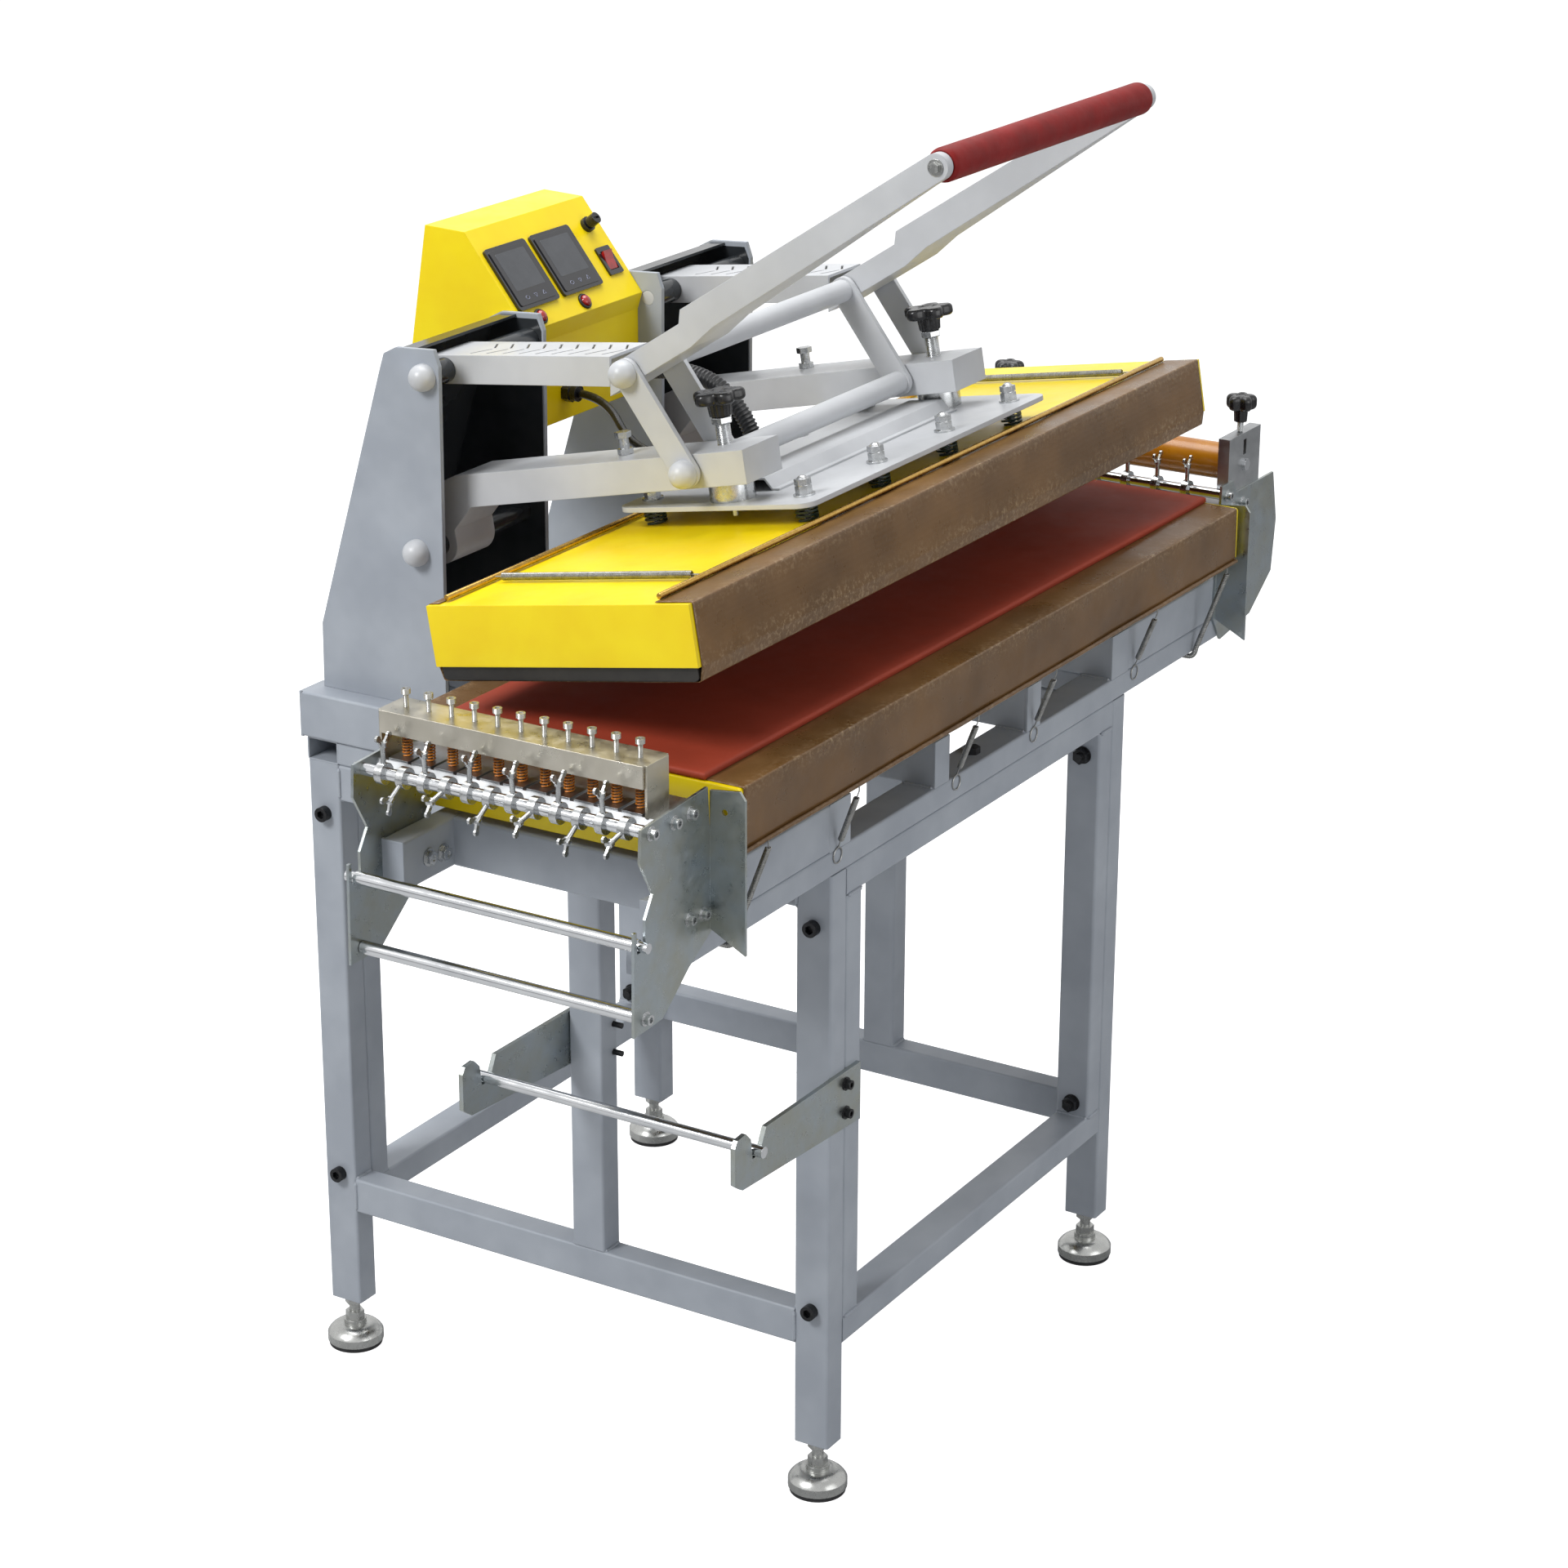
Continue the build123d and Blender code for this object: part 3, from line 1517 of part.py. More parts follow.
hose_sections = [hose_circle(0, hose_root)]
for number in range(rib_count):
    start = rib_start + number * hose_pitch
    for share, radius in ((0.05, hose_root), (0.3, hose_outer), (0.7, hose_outer), (0.95, hose_root)):
        hose_sections.append(hose_circle(start + share * hose_pitch, radius))
hose_sections.append(hose_circle(hose_length, hose_root))
with BuildPart() as hose:
    loft(hose_sections, ruled=True)
    with BuildSketch(Plane(origin=hose_line @ 0, x_dir=(1, 0, 0), z_dir=hose_line % 0)):
        Circle(hose_bore)
    sweep(path=hose_line, mode=Mode.SUBTRACT)
save("heater_hose", [hose.part])
print("lead bend", lead_bend, "hose bend", hose_bend, "hose ribs", rib_count)

# Ribbon station brackets
slot_low_x = upper_roller[0] - roller_journal - 2
slot_high_x = upper_roller[0] + roller_journal + 2
slot_bottom = upper_roller[1] - roller_journal - running_clearance
near_outline = [
    (-658.0, 854.0),
    (-548.0, 860.0),
    (-538.0, 720.0),
    (-582.0, 694.0),
    (-626.0, 660.0),
    (-673.0, 658.0),
    (slot_low_x - 4, upper_roller[1] + 16),
    (slot_low_x, upper_roller[1] + 16),
    (slot_low_x, slot_bottom),
    (slot_high_x, slot_bottom),
    (slot_high_x, upper_roller[1] + 23),
    (-640.0, 787.0),
    (-660.0, 822.0),
]
far_outline = [
    (548.0, far_guide[1] + 14),
    (far_guide[0] + 16, far_guide[1] + 14),
    (far_guide[0] + 26, 860.0),
    (690.0, 860.0),
    (704.0, 800.0),
    (696.0, 738.0),
    (640.0, 700.0),
    (560.0, 690.0),
    (538.0, 720.0),
]
bar_screws = ((605.0, 844.0), (578.0, 844.0))
box_screws = ((581.0, 742.0), (558.0, 739.0))
bracket_front_low = front_face - bracket_sheet
bracket_back_high = bracket_back_y + bracket_sheet
bracket_rows = ((bracket_front_low, front_face), (bracket_back_y, bracket_back_high))
station_brackets = []
for side, outline, extra in (
    (-1, near_outline, [near_guide, lower_roller]),
    (1, far_outline, [far_guide]),
):
    for row, (low_y, high_y) in enumerate(bracket_rows):
        holes = [(side * x, z, station_hole) for x, z in bar_screws + box_screws]
        holes += [(x, z, station_hole) for x, z in extra]
        plate = slab(outline, "y", low_y, high_y, holes)
        station_brackets.append(plate)
        out_low = low_y - flange_depth if row == 0 else high_y
        flange_low = side * flange_x if side > 0 else -flange_x - bracket_sheet
        flange = slab(
            [
                (out_low, 700.0),
                (out_low + flange_depth, 720.0),
                (out_low + flange_depth, 856.0),
                (out_low + 6, 860.0),
                (out_low, 852.0),
            ]
            if row == 0
            else [
                (out_low, 720.0),
                (out_low + flange_depth, 700.0),
                (out_low + flange_depth, 852.0),
                (out_low + flange_depth - 6, 860.0),
                (out_low, 856.0),
            ],
            "x",
            flange_low,
            flange_low + bracket_sheet,
            [(out_low + flange_depth / 2 + (3 if row == 0 else -3), 837.0, station_hole)],
        )
        station_brackets.append(flange)
save("station_brackets", station_brackets)

# Bars across each station, with the small plates that press on the ribbon
bar_length_low = front_face
bar_length_high = bracket_back_y
feed_bars = []
for side in (-1, 1):
    low_x = side * bar_high_x if side < 0 else bar_low_x
    high_x = low_x + bar_high_x - bar_low_x
    with BuildPart() as feed_bar:
        with Locations(
            ((low_x + high_x) / 2, (bar_length_low + bar_length_high) / 2, bar_top - bar_depth / 2)
        ):
            Box(bar_high_x - bar_low_x, bar_length_high - bar_length_low, bar_depth)
        outer_edge = feed_bar.edges().filter_by(Axis.Y).group_by(Axis.Z)[-1].sort_by(Axis.X)
        chamfer(outer_edge[0 if side < 0 else -1], 7)
        with BuildSketch(section_plane("y", bar_length_low - 1, bar_length_high + 1)):
            with Locations([(side * x, z) for x, z in bar_screws]):
                Circle(station_hole)
        extrude(amount=bar_length_high - bar_length_low + 2, mode=Mode.SUBTRACT)
    feed_bars.append(feed_bar.part)
pad_depth = tension_pitch - 4
for number in range(tension_count):
    y = tension_first_y - number * tension_pitch
    feed_bars.append(
        block(
            (tension_x - 15, y - pad_depth / 2, bar_top),
            (tension_x + 15, y + pad_depth / 2, bar_top + pad_plate_thickness),
        )
    )
save("feed_bars", feed_bars)

# Guide rods with their collars and wing screws
guide_rods = []
for x, z in (near_guide, far_guide):
    guide = rod("y", (x, z), front_face, bracket_back_y, guide_rod_radius)
    bores = [
        rod("y", (x, z), front_face - 1, front_face + 14, station_screw_radius),
        rod("y", (x, z), bracket_back_y - 14, bracket_back_y + 1, station_screw_radius),
    ]
    guide_rods.append(drilled(guide, bores))
save("guide_rods", guide_rods)

guide_collars = []
wing_screws = []
near_wing = wing_screw(wing_screw_length)
for number in range(guide_collar_count):
    y = guide_first_y - number * guide_collar_pitch
    x, z = near_guide
    guide_collars.append(
        rod("y", (x, z), y - guide_collar_width / 2, y + guide_collar_width / 2,
            guide_collar_radius, guide_rod_radius)
    )
    angle = math.radians((88, 212, 96, 192)[number % 4])
    direction = (math.cos(angle), 0, math.sin(angle))
    seat = (
        x + guide_collar_radius * direction[0],
        y,
        z + guide_collar_radius * direction[2],
    )
    wing_screws.append(placed(near_wing, seat, direction))
for number in range(far_collar_count):
    y = guide_first_y - 16 - number * far_collar_pitch
    x, z = far_guide
    guide_collars.append(
        rod("y", (x, z), y - guide_collar_width / 2, y + guide_collar_width / 2,
            guide_collar_radius, guide_rod_radius)
    )
    wing_screws.append(placed(near_wing, (x, y, z + guide_collar_radius), (0, 0, 1)))
save("guide_collars", guide_collars)
save("wing_screws", wing_screws)

# Spring bar that holds the ribbon down
tension_low_x = tension_x - tension_width / 2
tension_high_x = tension_x + tension_width / 2
screw_bore = station_screw_radius - 0.5
with BuildPart() as tension_bar:
    with BuildSketch(section_plane("y", tension_front, tension_back)):
        with BuildLine():
            Polyline(
                (tension_low_x, tension_top - tension_lip),
                (tension_low_x, tension_top),
                (tension_high_x, tension_top),
                (tension_high_x, tension_top - tension_lip),
                (tension_high_x - tension_sheet, tension_top - tension_lip),
                (tension_high_x - tension_sheet, tension_top - tension_sheet),
                (tension_low_x + tension_sheet, tension_top - tension_sheet),
                (tension_low_x + tension_sheet, tension_top - tension_lip),
                close=True,
            )
        make_face()
    extrude(amount=tension_back - tension_front)
    with BuildSketch(Plane.XY.offset(tension_top - tension_lip)):
        for number in range(tension_count):
            with Locations((tension_x, tension_first_y - number * tension_pitch)):
                Circle(screw_bore)
    extrude(amount=tension_lip + 1, mode=Mode.SUBTRACT)
end_plates = [
    block(
        (tension_low_x + 3, low_y, bar_top),
        (tension_high_x - 3, low_y + tension_sheet, tension_top),
    )
    for low_y in (tension_front - tension_sheet, tension_back)
]
save("tension_bar", [tension_bar.part] + end_plates)

tension_screws = []
tension_springs = []
pad_plate_top = bar_top + pad_plate_thickness
screw_stand = 13.0
tension_spring_height = tension_top - tension_sheet - pad_plate_top
set_screw = socket_screw(4.5, screw_bore - 0.1, tension_top + screw_stand - pad_plate_top)
wound = coil(
    tension_spring_radius, tension_spring_wire, tension_spring_height, tension_spring_turns
)
for number in range(tension_count):
    y = tension_first_y - number * tension_pitch
    tension_screws.append(set_screw.moved(Location((tension_x, y, tension_top + screw_stand))))
    tension_springs.append(wound.moved(Location((tension_x, y, pad_plate_top))))
save("tension_screws", tension_screws)
save("tension_springs", tension_springs)
gap = coil_gap(
    tension_spring_radius, tension_spring_wire, tension_spring_height, tension_spring_turns
)
print("tension spring least gap", round(gap, 2))

# Ribbon rollers
end_play = 0.5
upper_low = front_face - bracket_sheet - 8
upper_high = bracket_back_y + bracket_sheet + 8
with BuildPart() as near_upper:
    add(rod("y", upper_roller, front_face + end_play, bracket_back_y - end_play, roller_radius))
    add(rod("y", upper_roller, upper_low, upper_high, roller_journal))
save("near_upper_roller", [near_upper.part])
save(
    "near_lower_roller",
    [
        rod(
            "y",
            lower_roller,
            front_face + end_play,
            bracket_back_y - end_play,
            roller_radius,
            station_screw_radius + running_clearance,
        )
    ],
)

# Rubber roller between two bearing blocks
block_half = 42.0
block_top = 925.0
block_low_z = 860.0
bearing_blocks = []
for low_y in (front_face, bracket_back_y - bearing_block_thickness):
    high_y = low_y + bearing_block_thickness
    outline = [
        (rubber_axis[0] - block_half, block_low_z),
        (rubber_axis[0] - block_half, block_top),
        (rubber_axis[0] + block_half, block_top),
        (rubber_axis[0] + block_half, block_low_z),
    ]
    holes = [(rubber_axis[0], rubber_axis[1], rubber_core_radius - 3 + running_clearance)]
    bearing = slab(outline, "y", low_y, high_y, holes)
    slot = block(
        (rubber_axis[0] - 4, low_y - 1, rubber_axis[1] + 12),
        (rubber_axis[0] + 4, high_y + 1, block_top - 8),
    )
    bearing_blocks.append(drilled(bearing, [slot]))
save("bearing_blocks", bearing_blocks)

block_inner_low = front_face + bearing_block_thickness
block_inner_high = bracket_back_y - bearing_block_thickness
with BuildPart() as roller_core:
    add(
        rod(
            "y",
            rubber_axis,
            block_inner_low + end_play,
            block_inner_high - end_play,
            rubber_core_radius,
        )
    )
    add(rod("y", rubber_axis, front_face - 4, bracket_back_y + 4, rubber_core_radius - 3))
save("roller_core", [roller_core.part])
save(
    "rubber_roller",
    [
        rod(
            "y",
            rubber_axis,
            block_inner_low + 4,
            block_inner_high - 4,
            rubber_radius,
            rubber_core_radius,
        )
    ],
)
knob_stem = 12.0
for name, low_y in (("front", front_face), ("back", bracket_back_y - bearing_block_thickness)):
    y = low_y + bearing_block_thickness / 2
    knob = star_knob(nip_knob_radius, 18.0, 0)
    stem = rod("z", (rubber_axis[0], y), block_top + 0.2, block_top + knob_stem, 4)
    top = knob.moved(Location((rubber_axis[0], y, block_top + knob_stem)))
    save("nip_knob_" + name, [stem, top])

# Roll holder under the near station
hook_y_low = front_face - roll_arm_sheet
roll_outline = [
    (-268.0, 478.0),
    (-449.0, 480.0),
    (-461.0, 456.0),
    (-474.0, 456.0),
    (-477.0, 478.0),
    (-486.0, 487.0),
    (-501.0, 486.0),
    (-506.0, 479.0),
    (-506.0, 440.0),
    (-492.0, 430.0),
    (-268.0, 415.0),
]
roll_arms = []
roll_back_low = mid_post_y + leg_y / 2
for low_y in (hook_y_low, roll_back_low):
    holes = [(roll_screw_x, z, station_hole) for z in roll_screw_z]
    roll_arms.append(slab(roll_outline, "y", low_y, low_y + roll_arm_sheet, holes))
save("roll_arms", roll_arms)
roll_seat = (roll_rod_centre[0], 456.0 + roll_rod_radius)
save(
    "roll_rod",
    [
        rod(
            "y",
            roll_seat,
            hook_y_low - roll_rod_overhang,
            roll_back_low + roll_arm_sheet + roll_rod_overhang,
            roll_rod_radius - 0.05,
        )
    ],
)

# Zinc screws of the stations and the roll holder
station_screws = []


def station_screw(x, z, y, direction, length):
    """Screw with its washer under the head."""
    ring = washer(7, station_screw_radius, 1.2)
    screw = socket_screw(5, station_screw_radius, length)
    return [
        placed(ring, (x, y, z), (0, direction, 0)),
        placed(screw, (x, y + 1.2 * direction, z), (0, direction, 0)),
    ]


def station_nut(x, z, y, direction):
    """Nut with its washer on the threaded end of a station screw."""
    ring = washer(9, station_screw_radius, 1.5)
    nut = hexagon(7, 5, station_screw_radius)
    return [
        placed(ring, (x, y, z), (0, direction, 0)),
        placed(nut, (x, y + 1.5 * direction, z), (0, direction, 0)),
    ]


for side, guide in ((-1, near_guide), (1, far_guide)):
    places = [(side * x, z) for x, z in bar_screws]
    for x, z in places:
        station_screws.extend(station_screw(x, z, bracket_front_low, -1, 20))
        station_screws.extend(station_screw(x, z, bracket_back_high, 1, 20))
    for x, z in box_screws:
        station_screws.extend(station_screw(side * x, z, bracket_front_low, -1, outrigger_depth + 10))
        station_screws.extend(station_screw(side * x, z, bracket_back_high, 1, outrigger_depth + 10))
        station_screws.extend(station_nut(side * x, z, front_face + outrigger_depth, 1))
        station_screws.extend(station_nut(side * x, z, back_low, -1))
    station_screws.extend(station_screw(guide[0], guide[1], bracket_front_low, -1, 12))
    station_screws.extend(station_screw(guide[0], guide[1], bracket_back_high, 1, 12))
station_screws.extend(station_screw(*lower_roller, bracket_front_low, -1, 20))
station_screws.extend(station_screw(*lower_roller, bracket_back_high, 1, 20))
for z in roll_screw_z:
    frame_screws.extend(station_screw(roll_screw_x, z, hook_y_low, -1, roll_arm_sheet + leg_y + 12))
    frame_screws.extend(station_screw(roll_screw_x, z, roll_back_low + roll_arm_sheet, 1, roll_arm_sheet + leg_y + 12))
save("frame_screws", frame_screws)
save("station_screws", station_screws)
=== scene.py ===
"""Dressed model of a long heat press on a welded stand, with ribbon stations at its ends.

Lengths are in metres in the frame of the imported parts: +X runs along the press towards
the nip roller, -Y faces the operator and +Z is up. The press stands open.
"""
import logging
import math
from collections.abc import Iterable, Sequence
from dataclasses import dataclass
from enum import Enum

import bmesh
import bpy
import numpy as np
from mathutils import Matrix, Vector


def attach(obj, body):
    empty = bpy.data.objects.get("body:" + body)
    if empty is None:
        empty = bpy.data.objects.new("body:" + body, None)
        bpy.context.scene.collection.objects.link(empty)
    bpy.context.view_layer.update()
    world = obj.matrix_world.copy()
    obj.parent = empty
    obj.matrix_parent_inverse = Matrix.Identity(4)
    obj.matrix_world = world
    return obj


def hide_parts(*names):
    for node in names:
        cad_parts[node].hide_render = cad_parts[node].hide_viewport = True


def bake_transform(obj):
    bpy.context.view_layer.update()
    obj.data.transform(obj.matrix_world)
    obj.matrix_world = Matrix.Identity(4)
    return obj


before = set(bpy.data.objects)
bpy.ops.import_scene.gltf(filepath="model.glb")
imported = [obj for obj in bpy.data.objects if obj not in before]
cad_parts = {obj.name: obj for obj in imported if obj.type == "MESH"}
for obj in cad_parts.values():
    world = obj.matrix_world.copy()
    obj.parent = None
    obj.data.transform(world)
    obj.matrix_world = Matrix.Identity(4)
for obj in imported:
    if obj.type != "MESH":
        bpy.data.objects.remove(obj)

LOG = logging.getLogger("heat_press")
MM = 0.001
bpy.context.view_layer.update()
# Pivot of the head (y, z), and the degrees that it swings from closed to open
HEAD_PIVOT = (0.1835, 0.936)
HEAD_TRAVEL = 9.8395
ALONG_X = np.array([1.0, 0.0, 0.0])
UPRIGHT = np.array([0.0, 0.0, 1.0])


class Making(Enum):
    """How a surface was made, which sets its fine pattern."""

    SPRAYED = "sprayed coat with a fine orange peel"
    DRAWN_X = "drawn or brushed along X"
    DRAWN_Y = "drawn or brushed along Y"
    TURNED = "turned round an upright axis, with faint rings"
    PLATED = "plated sheet with cloudy patches"
    MOULDED = "moulded with a fine spark texture"
    WOVEN = "plain weave under a clear coat"
    FOAMED = "closed cell foam"
    CAST = "cast or pressed with a soft grain"
    THREADED = "cut thread round an upright axis"


@dataclass(frozen=True)
class Finish:
    """One surface finish; sizes are in millimetres and colours are sRGB hex values.

    Args:
        name: The material's common name and process.
        colour: Main colour.
        second: Colour of the soft patches in it.
        making: How the surface was made.
        metallic: 1 for bare metal and 0 for paint, plastic, cloth and rubber.
        roughness: Middle roughness.
        spread: How far the roughness wanders to each side.
        patch_mm: Size of the colour patches.
        grain_mm: Size of the fine pattern.
        depth_mm: Height of the fine pattern.
        ior: Index of refraction of a surface that is not metal.
        coat: Weight of a clear coat.
        edge_mm: Radius that the edges are rounded to.
        worn: Colour that shows where edges are rubbed, or an empty text; on the cloth it is the colour at the
            folds, partly rubbing and partly painted highlight.
        wear: How much of the edge is rubbed, from 0 to 1.
    """

    name: str
    colour: str
    second: str
    making: Making
    metallic: float = 0.0
    roughness: float = 0.4
    spread: float = 0.06
    patch_mm: float = 90.0
    grain_mm: float = 1.2
    depth_mm: float = 0.03
    ior: float = 1.5
    coat: float = 0.0
    edge_mm: float = 0.8
    worn: str = ""
    wear: float = 0.0


# Powder coat on the welded stand: blue-grey, satin, with pale rubbed edges
STAND_PAINT = Finish(
    "powder_coated_steel_blue_grey", "#A6ACB4", "#999FA8", Making.SPRAYED, roughness=0.42,
    grain_mm=1.4, depth_mm=0.03, edge_mm=1.6, worn="#D2D5DA", wear=0.35)
# Smoother and paler coat on the folded linkage parts: reads as warm light grey
LINKAGE_PAINT = Finish(
    "powder_coated_steel_light_grey", "#C3C5C8", "#B9BBBE", Making.SPRAYED, roughness=0.36,
    grain_mm=1.6, depth_mm=0.025, edge_mm=1.3, worn="#E4E4E2", wear=0.3)
# Gloss black on the sheets behind the uprights: mirrors the room in a soft way. It is also painted shade on
# the plates' inner faces and on the pin sleeves between them
DARK_GLOSS = Finish(
    "gloss_enamel_black", "#34373A", "#25282B", Making.SPRAYED, roughness=0.16, grain_mm=3.0,
    depth_mm=0.02, edge_mm=0.8)
# Yellow powder coat: saturated, nearly even, with a little gloss
YELLOW_PAINT = Finish(
    "powder_coated_steel_yellow", "#F7DD08", "#F2D200", Making.SPRAYED, roughness=0.34,
    grain_mm=1.5, depth_mm=0.02, edge_mm=1.4, worn="#FBEF8A", wear=0.3)
# Passivated zinc on laser cut plates: grey with cloudy green and straw patches
ZINC_PLATE = Finish(
    "passivated_zinc_plate", "#A3ABAF", "#A1A49D", Making.PLATED, metallic=1.0, roughness=0.34,
    spread=0.12, patch_mm=38.0, grain_mm=0.8, depth_mm=0.015, edge_mm=0.5, worn="#D6D9D8", wear=0.5)
# Brushed stainless channel: warm grey with long fine scratches
BRUSHED_STEEL = Finish(
    "brushed_stainless_steel", "#CDC8BC", "#BDB8AA", Making.DRAWN_Y, metallic=1.0, roughness=0.34,
    spread=0.10, patch_mm=60.0, grain_mm=0.5, depth_mm=0.012, edge_mm=0.7)
# Ground and plated rods: bright, with faint lines along them
BRIGHT_ROD = Finish(
    "ground_chromed_rod", "#D4D6D8", "#C6C8CB", Making.DRAWN_Y, metallic=1.0, roughness=0.15,
    spread=0.05, patch_mm=70.0, grain_mm=0.6, depth_mm=0.006, edge_mm=0.5)
# Plated fasteners and collars: bright zinc
BRIGHT_ZINC = Finish(
    "bright_zinc_fastener", "#C4C6C8", "#B2B4B4", Making.CAST, metallic=1.0, roughness=0.24,
    spread=0.08, patch_mm=9.0, grain_mm=0.9, depth_mm=0.02, edge_mm=0.5)
# Turned steel: faint rings and a satin gloss
TURNED_STEEL = Finish(
    "turned_steel", "#B7B8B6", "#A5A6A4", Making.TURNED, metallic=1.0, roughness=0.28, spread=0.08,
    patch_mm=24.0, grain_mm=0.8, depth_mm=0.012, edge_mm=0.8)
# Cut threads on screws
THREADED_STEEL = Finish(
    "threaded_steel", "#BDBDBA", "#A2A29E", Making.THREADED, metallic=1.0, roughness=0.3,
    spread=0.06, patch_mm=12.0, grain_mm=1.0, depth_mm=0.25, edge_mm=0.4)
# Black oxide on socket screws: near black with a dull oil gloss
BLACK_OXIDE = Finish(
    "black_oxide_steel", "#1E1F21", "#2B2C2E", Making.CAST, metallic=0.6, roughness=0.38,
    spread=0.06, patch_mm=10.0, grain_mm=0.8, depth_mm=0.02, edge_mm=0.6, worn="#5A5B5C", wear=0.3)
# Spring wire lacquered orange
ORANGE_WIRE = Finish(
    "lacquered_spring_wire_orange", "#DB8A28", "#BA6A1A", Making.CAST, roughness=0.36, patch_mm=6.0,
    grain_mm=0.6, depth_mm=0.01, edge_mm=0.2)
# Flat wire die springs in very dark green
GREEN_WIRE = Finish(
    "lacquered_die_spring_green", "#12312B", "#0C211E", Making.CAST, roughness=0.3, patch_mm=8.0,
    grain_mm=0.8, depth_mm=0.015, edge_mm=0.3)
# Drawn spring steel
SPRING_STEEL = Finish(
    "drawn_spring_steel", "#A9A9A7", "#8F8F8C", Making.CAST, metallic=1.0, roughness=0.3,
    patch_mm=8.0, grain_mm=0.5, depth_mm=0.006, edge_mm=0.15)
# Turned brass on the hem rods: warm yellow with a soft gloss
BRASS = Finish(
    "turned_brass", "#C9A45A", "#B58F45", Making.CAST, metallic=1.0, roughness=0.28, patch_mm=8.0,
    grain_mm=0.5, depth_mm=0.01, edge_mm=0.3)
# Milled and anodised aluminium blocks
MILLED_ALUMINIUM = Finish(
    "milled_aluminium", "#AEB0B2", "#9EA0A2", Making.DRAWN_X, metallic=1.0, roughness=0.36,
    spread=0.08, patch_mm=30.0, grain_mm=0.7, depth_mm=0.012, edge_mm=0.5)
# Cast heater plate with a baked black coat
HEATER_BLACK = Finish(
    "cast_aluminium_black_coat", "#1B1A1A", "#272523", Making.CAST, roughness=0.5, spread=0.08,
    patch_mm=40.0, grain_mm=1.0, depth_mm=0.05, edge_mm=1.5)
# Glass cloth with a baked non-stick coat: brown, woven, half glossy, pale at folds, partly rubbed and partly
# a painted highlight where light catches them.
# Its threads are drawn 1.6 mm apart, coarser than they are, so that they show
COATED_CLOTH = Finish(
    "coated_glass_cloth_brown", "#75552F", "#5F4424", Making.WOVEN, roughness=0.34, spread=0.12,
    patch_mm=120.0, grain_mm=1.6, depth_mm=0.05, ior=1.38, coat=0.12, edge_mm=0.5, worn="#AD9472")
# Silicone sponge pad: brick red, matt, with a fine skin
SILICONE_PAD = Finish(
    "silicone_sponge_brick_red", "#A33F29", "#923722", Making.CAST, roughness=0.6, spread=0.06,
    patch_mm=150.0, grain_mm=1.1, depth_mm=0.05, ior=1.38, edge_mm=1.0)
# Red foam sleeve on the grip
RED_FOAM = Finish(
    "nitrile_foam_red", "#7F0C09", "#6D0907", Making.FOAMED, roughness=0.6, spread=0.05,
    patch_mm=40.0, grain_mm=1.3, depth_mm=0.10, ior=1.35, edge_mm=1.5)
# Amber polyurethane on the nip roller
AMBER_RUBBER = Finish(
    "cast_polyurethane_amber", "#C98316", "#B56F0C", Making.DRAWN_Y, roughness=0.3, spread=0.05,
    patch_mm=50.0, grain_mm=1.0, depth_mm=0.01, edge_mm=1.0, coat=0.2)
# Moulded black knobs and glands
BLACK_MOULDED = Finish(
    "moulded_phenolic_black", "#141416", "#1C1C1E", Making.MOULDED, roughness=0.26, spread=0.08,
    patch_mm=18.0, grain_mm=0.8, depth_mm=0.02, edge_mm=0.8)
# Black glass fronts of the controllers
PANEL_GLASS = Finish(
    "printed_acrylic_black", "#101116", "#14151B", Making.CAST, roughness=0.12, spread=0.03,
    patch_mm=30.0, grain_mm=4.0, depth_mm=0.004, edge_mm=0.6, coat=0.5)
# Grey display windows: even and half glossy
DISPLAY_GREY = Finish(
    "display_window_grey", "#3D4045", "#373A3F", Making.CAST, roughness=0.2, spread=0.04,
    patch_mm=20.0, grain_mm=3.0, depth_mm=0.004, edge_mm=0.2, coat=0.4)
# Screen printed key marks: pale thin lines
KEY_PRINT = Finish(
    "screen_printed_key_mark", "#8C90A8", "#82869E", Making.CAST, roughness=0.4, patch_mm=10.0,
    grain_mm=0.6, depth_mm=0.002, edge_mm=0.05)
# Clear red plastic of the rocker and the lamps
RED_LENS = Finish(
    "moulded_polycarbonate_red", "#B3130E", "#8E0A08", Making.MOULDED, roughness=0.12, spread=0.04,
    patch_mm=8.0, grain_mm=2.0, depth_mm=0.01, edge_mm=0.8, coat=0.6)
# Moulded rubber under the feet: dull black
FOOT_RUBBER = Finish(
    "moulded_rubber_black", "#18181A", "#232325", Making.MOULDED, roughness=0.6, spread=0.06,
    patch_mm=20.0, grain_mm=1.0, depth_mm=0.03, edge_mm=0.8)
# Braided sleeve on the lead: black with a coarse glint, drawn coarser than it is so that it shows
LEAD_SLEEVE = Finish(
    "braided_silicone_sleeve_black", "#111214", "#1A1B1D", Making.MOULDED, roughness=0.24,
    spread=0.08, patch_mm=14.0, grain_mm=2.2, depth_mm=0.12, edge_mm=0.5)
# Moulded nylon hose: satin black
HOSE_PLASTIC = Finish(
    "ribbed_nylon_hose_black", "#17181A", "#202123", Making.MOULDED, roughness=0.34, spread=0.05,
    patch_mm=20.0, grain_mm=1.0, depth_mm=0.02, edge_mm=0.4)
# Pressed mineral board under the bed's cover: brown and dull
HEAT_BOARD = Finish(
    "pressed_mineral_board", "#8A7350", "#7A6444", Making.CAST, roughness=0.7, patch_mm=30.0,
    grain_mm=1.5, depth_mm=0.06, edge_mm=0.6)


def linear(code: str) -> tuple[float, float, float, float]:
    """Turn an sRGB hex colour into linear light.

    Args:
        code: Colour such as "#A1B2C3".

    Returns:
        Red, green, blue and an alpha of 1.
    """
    share = np.array([int(code[i:i + 2], 16) for i in (1, 3, 5)]) / 255.0
    light = np.where(share <= 0.04045, share / 12.92, ((share + 0.055) / 1.055) ** 2.4)
    return (*[float(value) for value in light], 1.0)


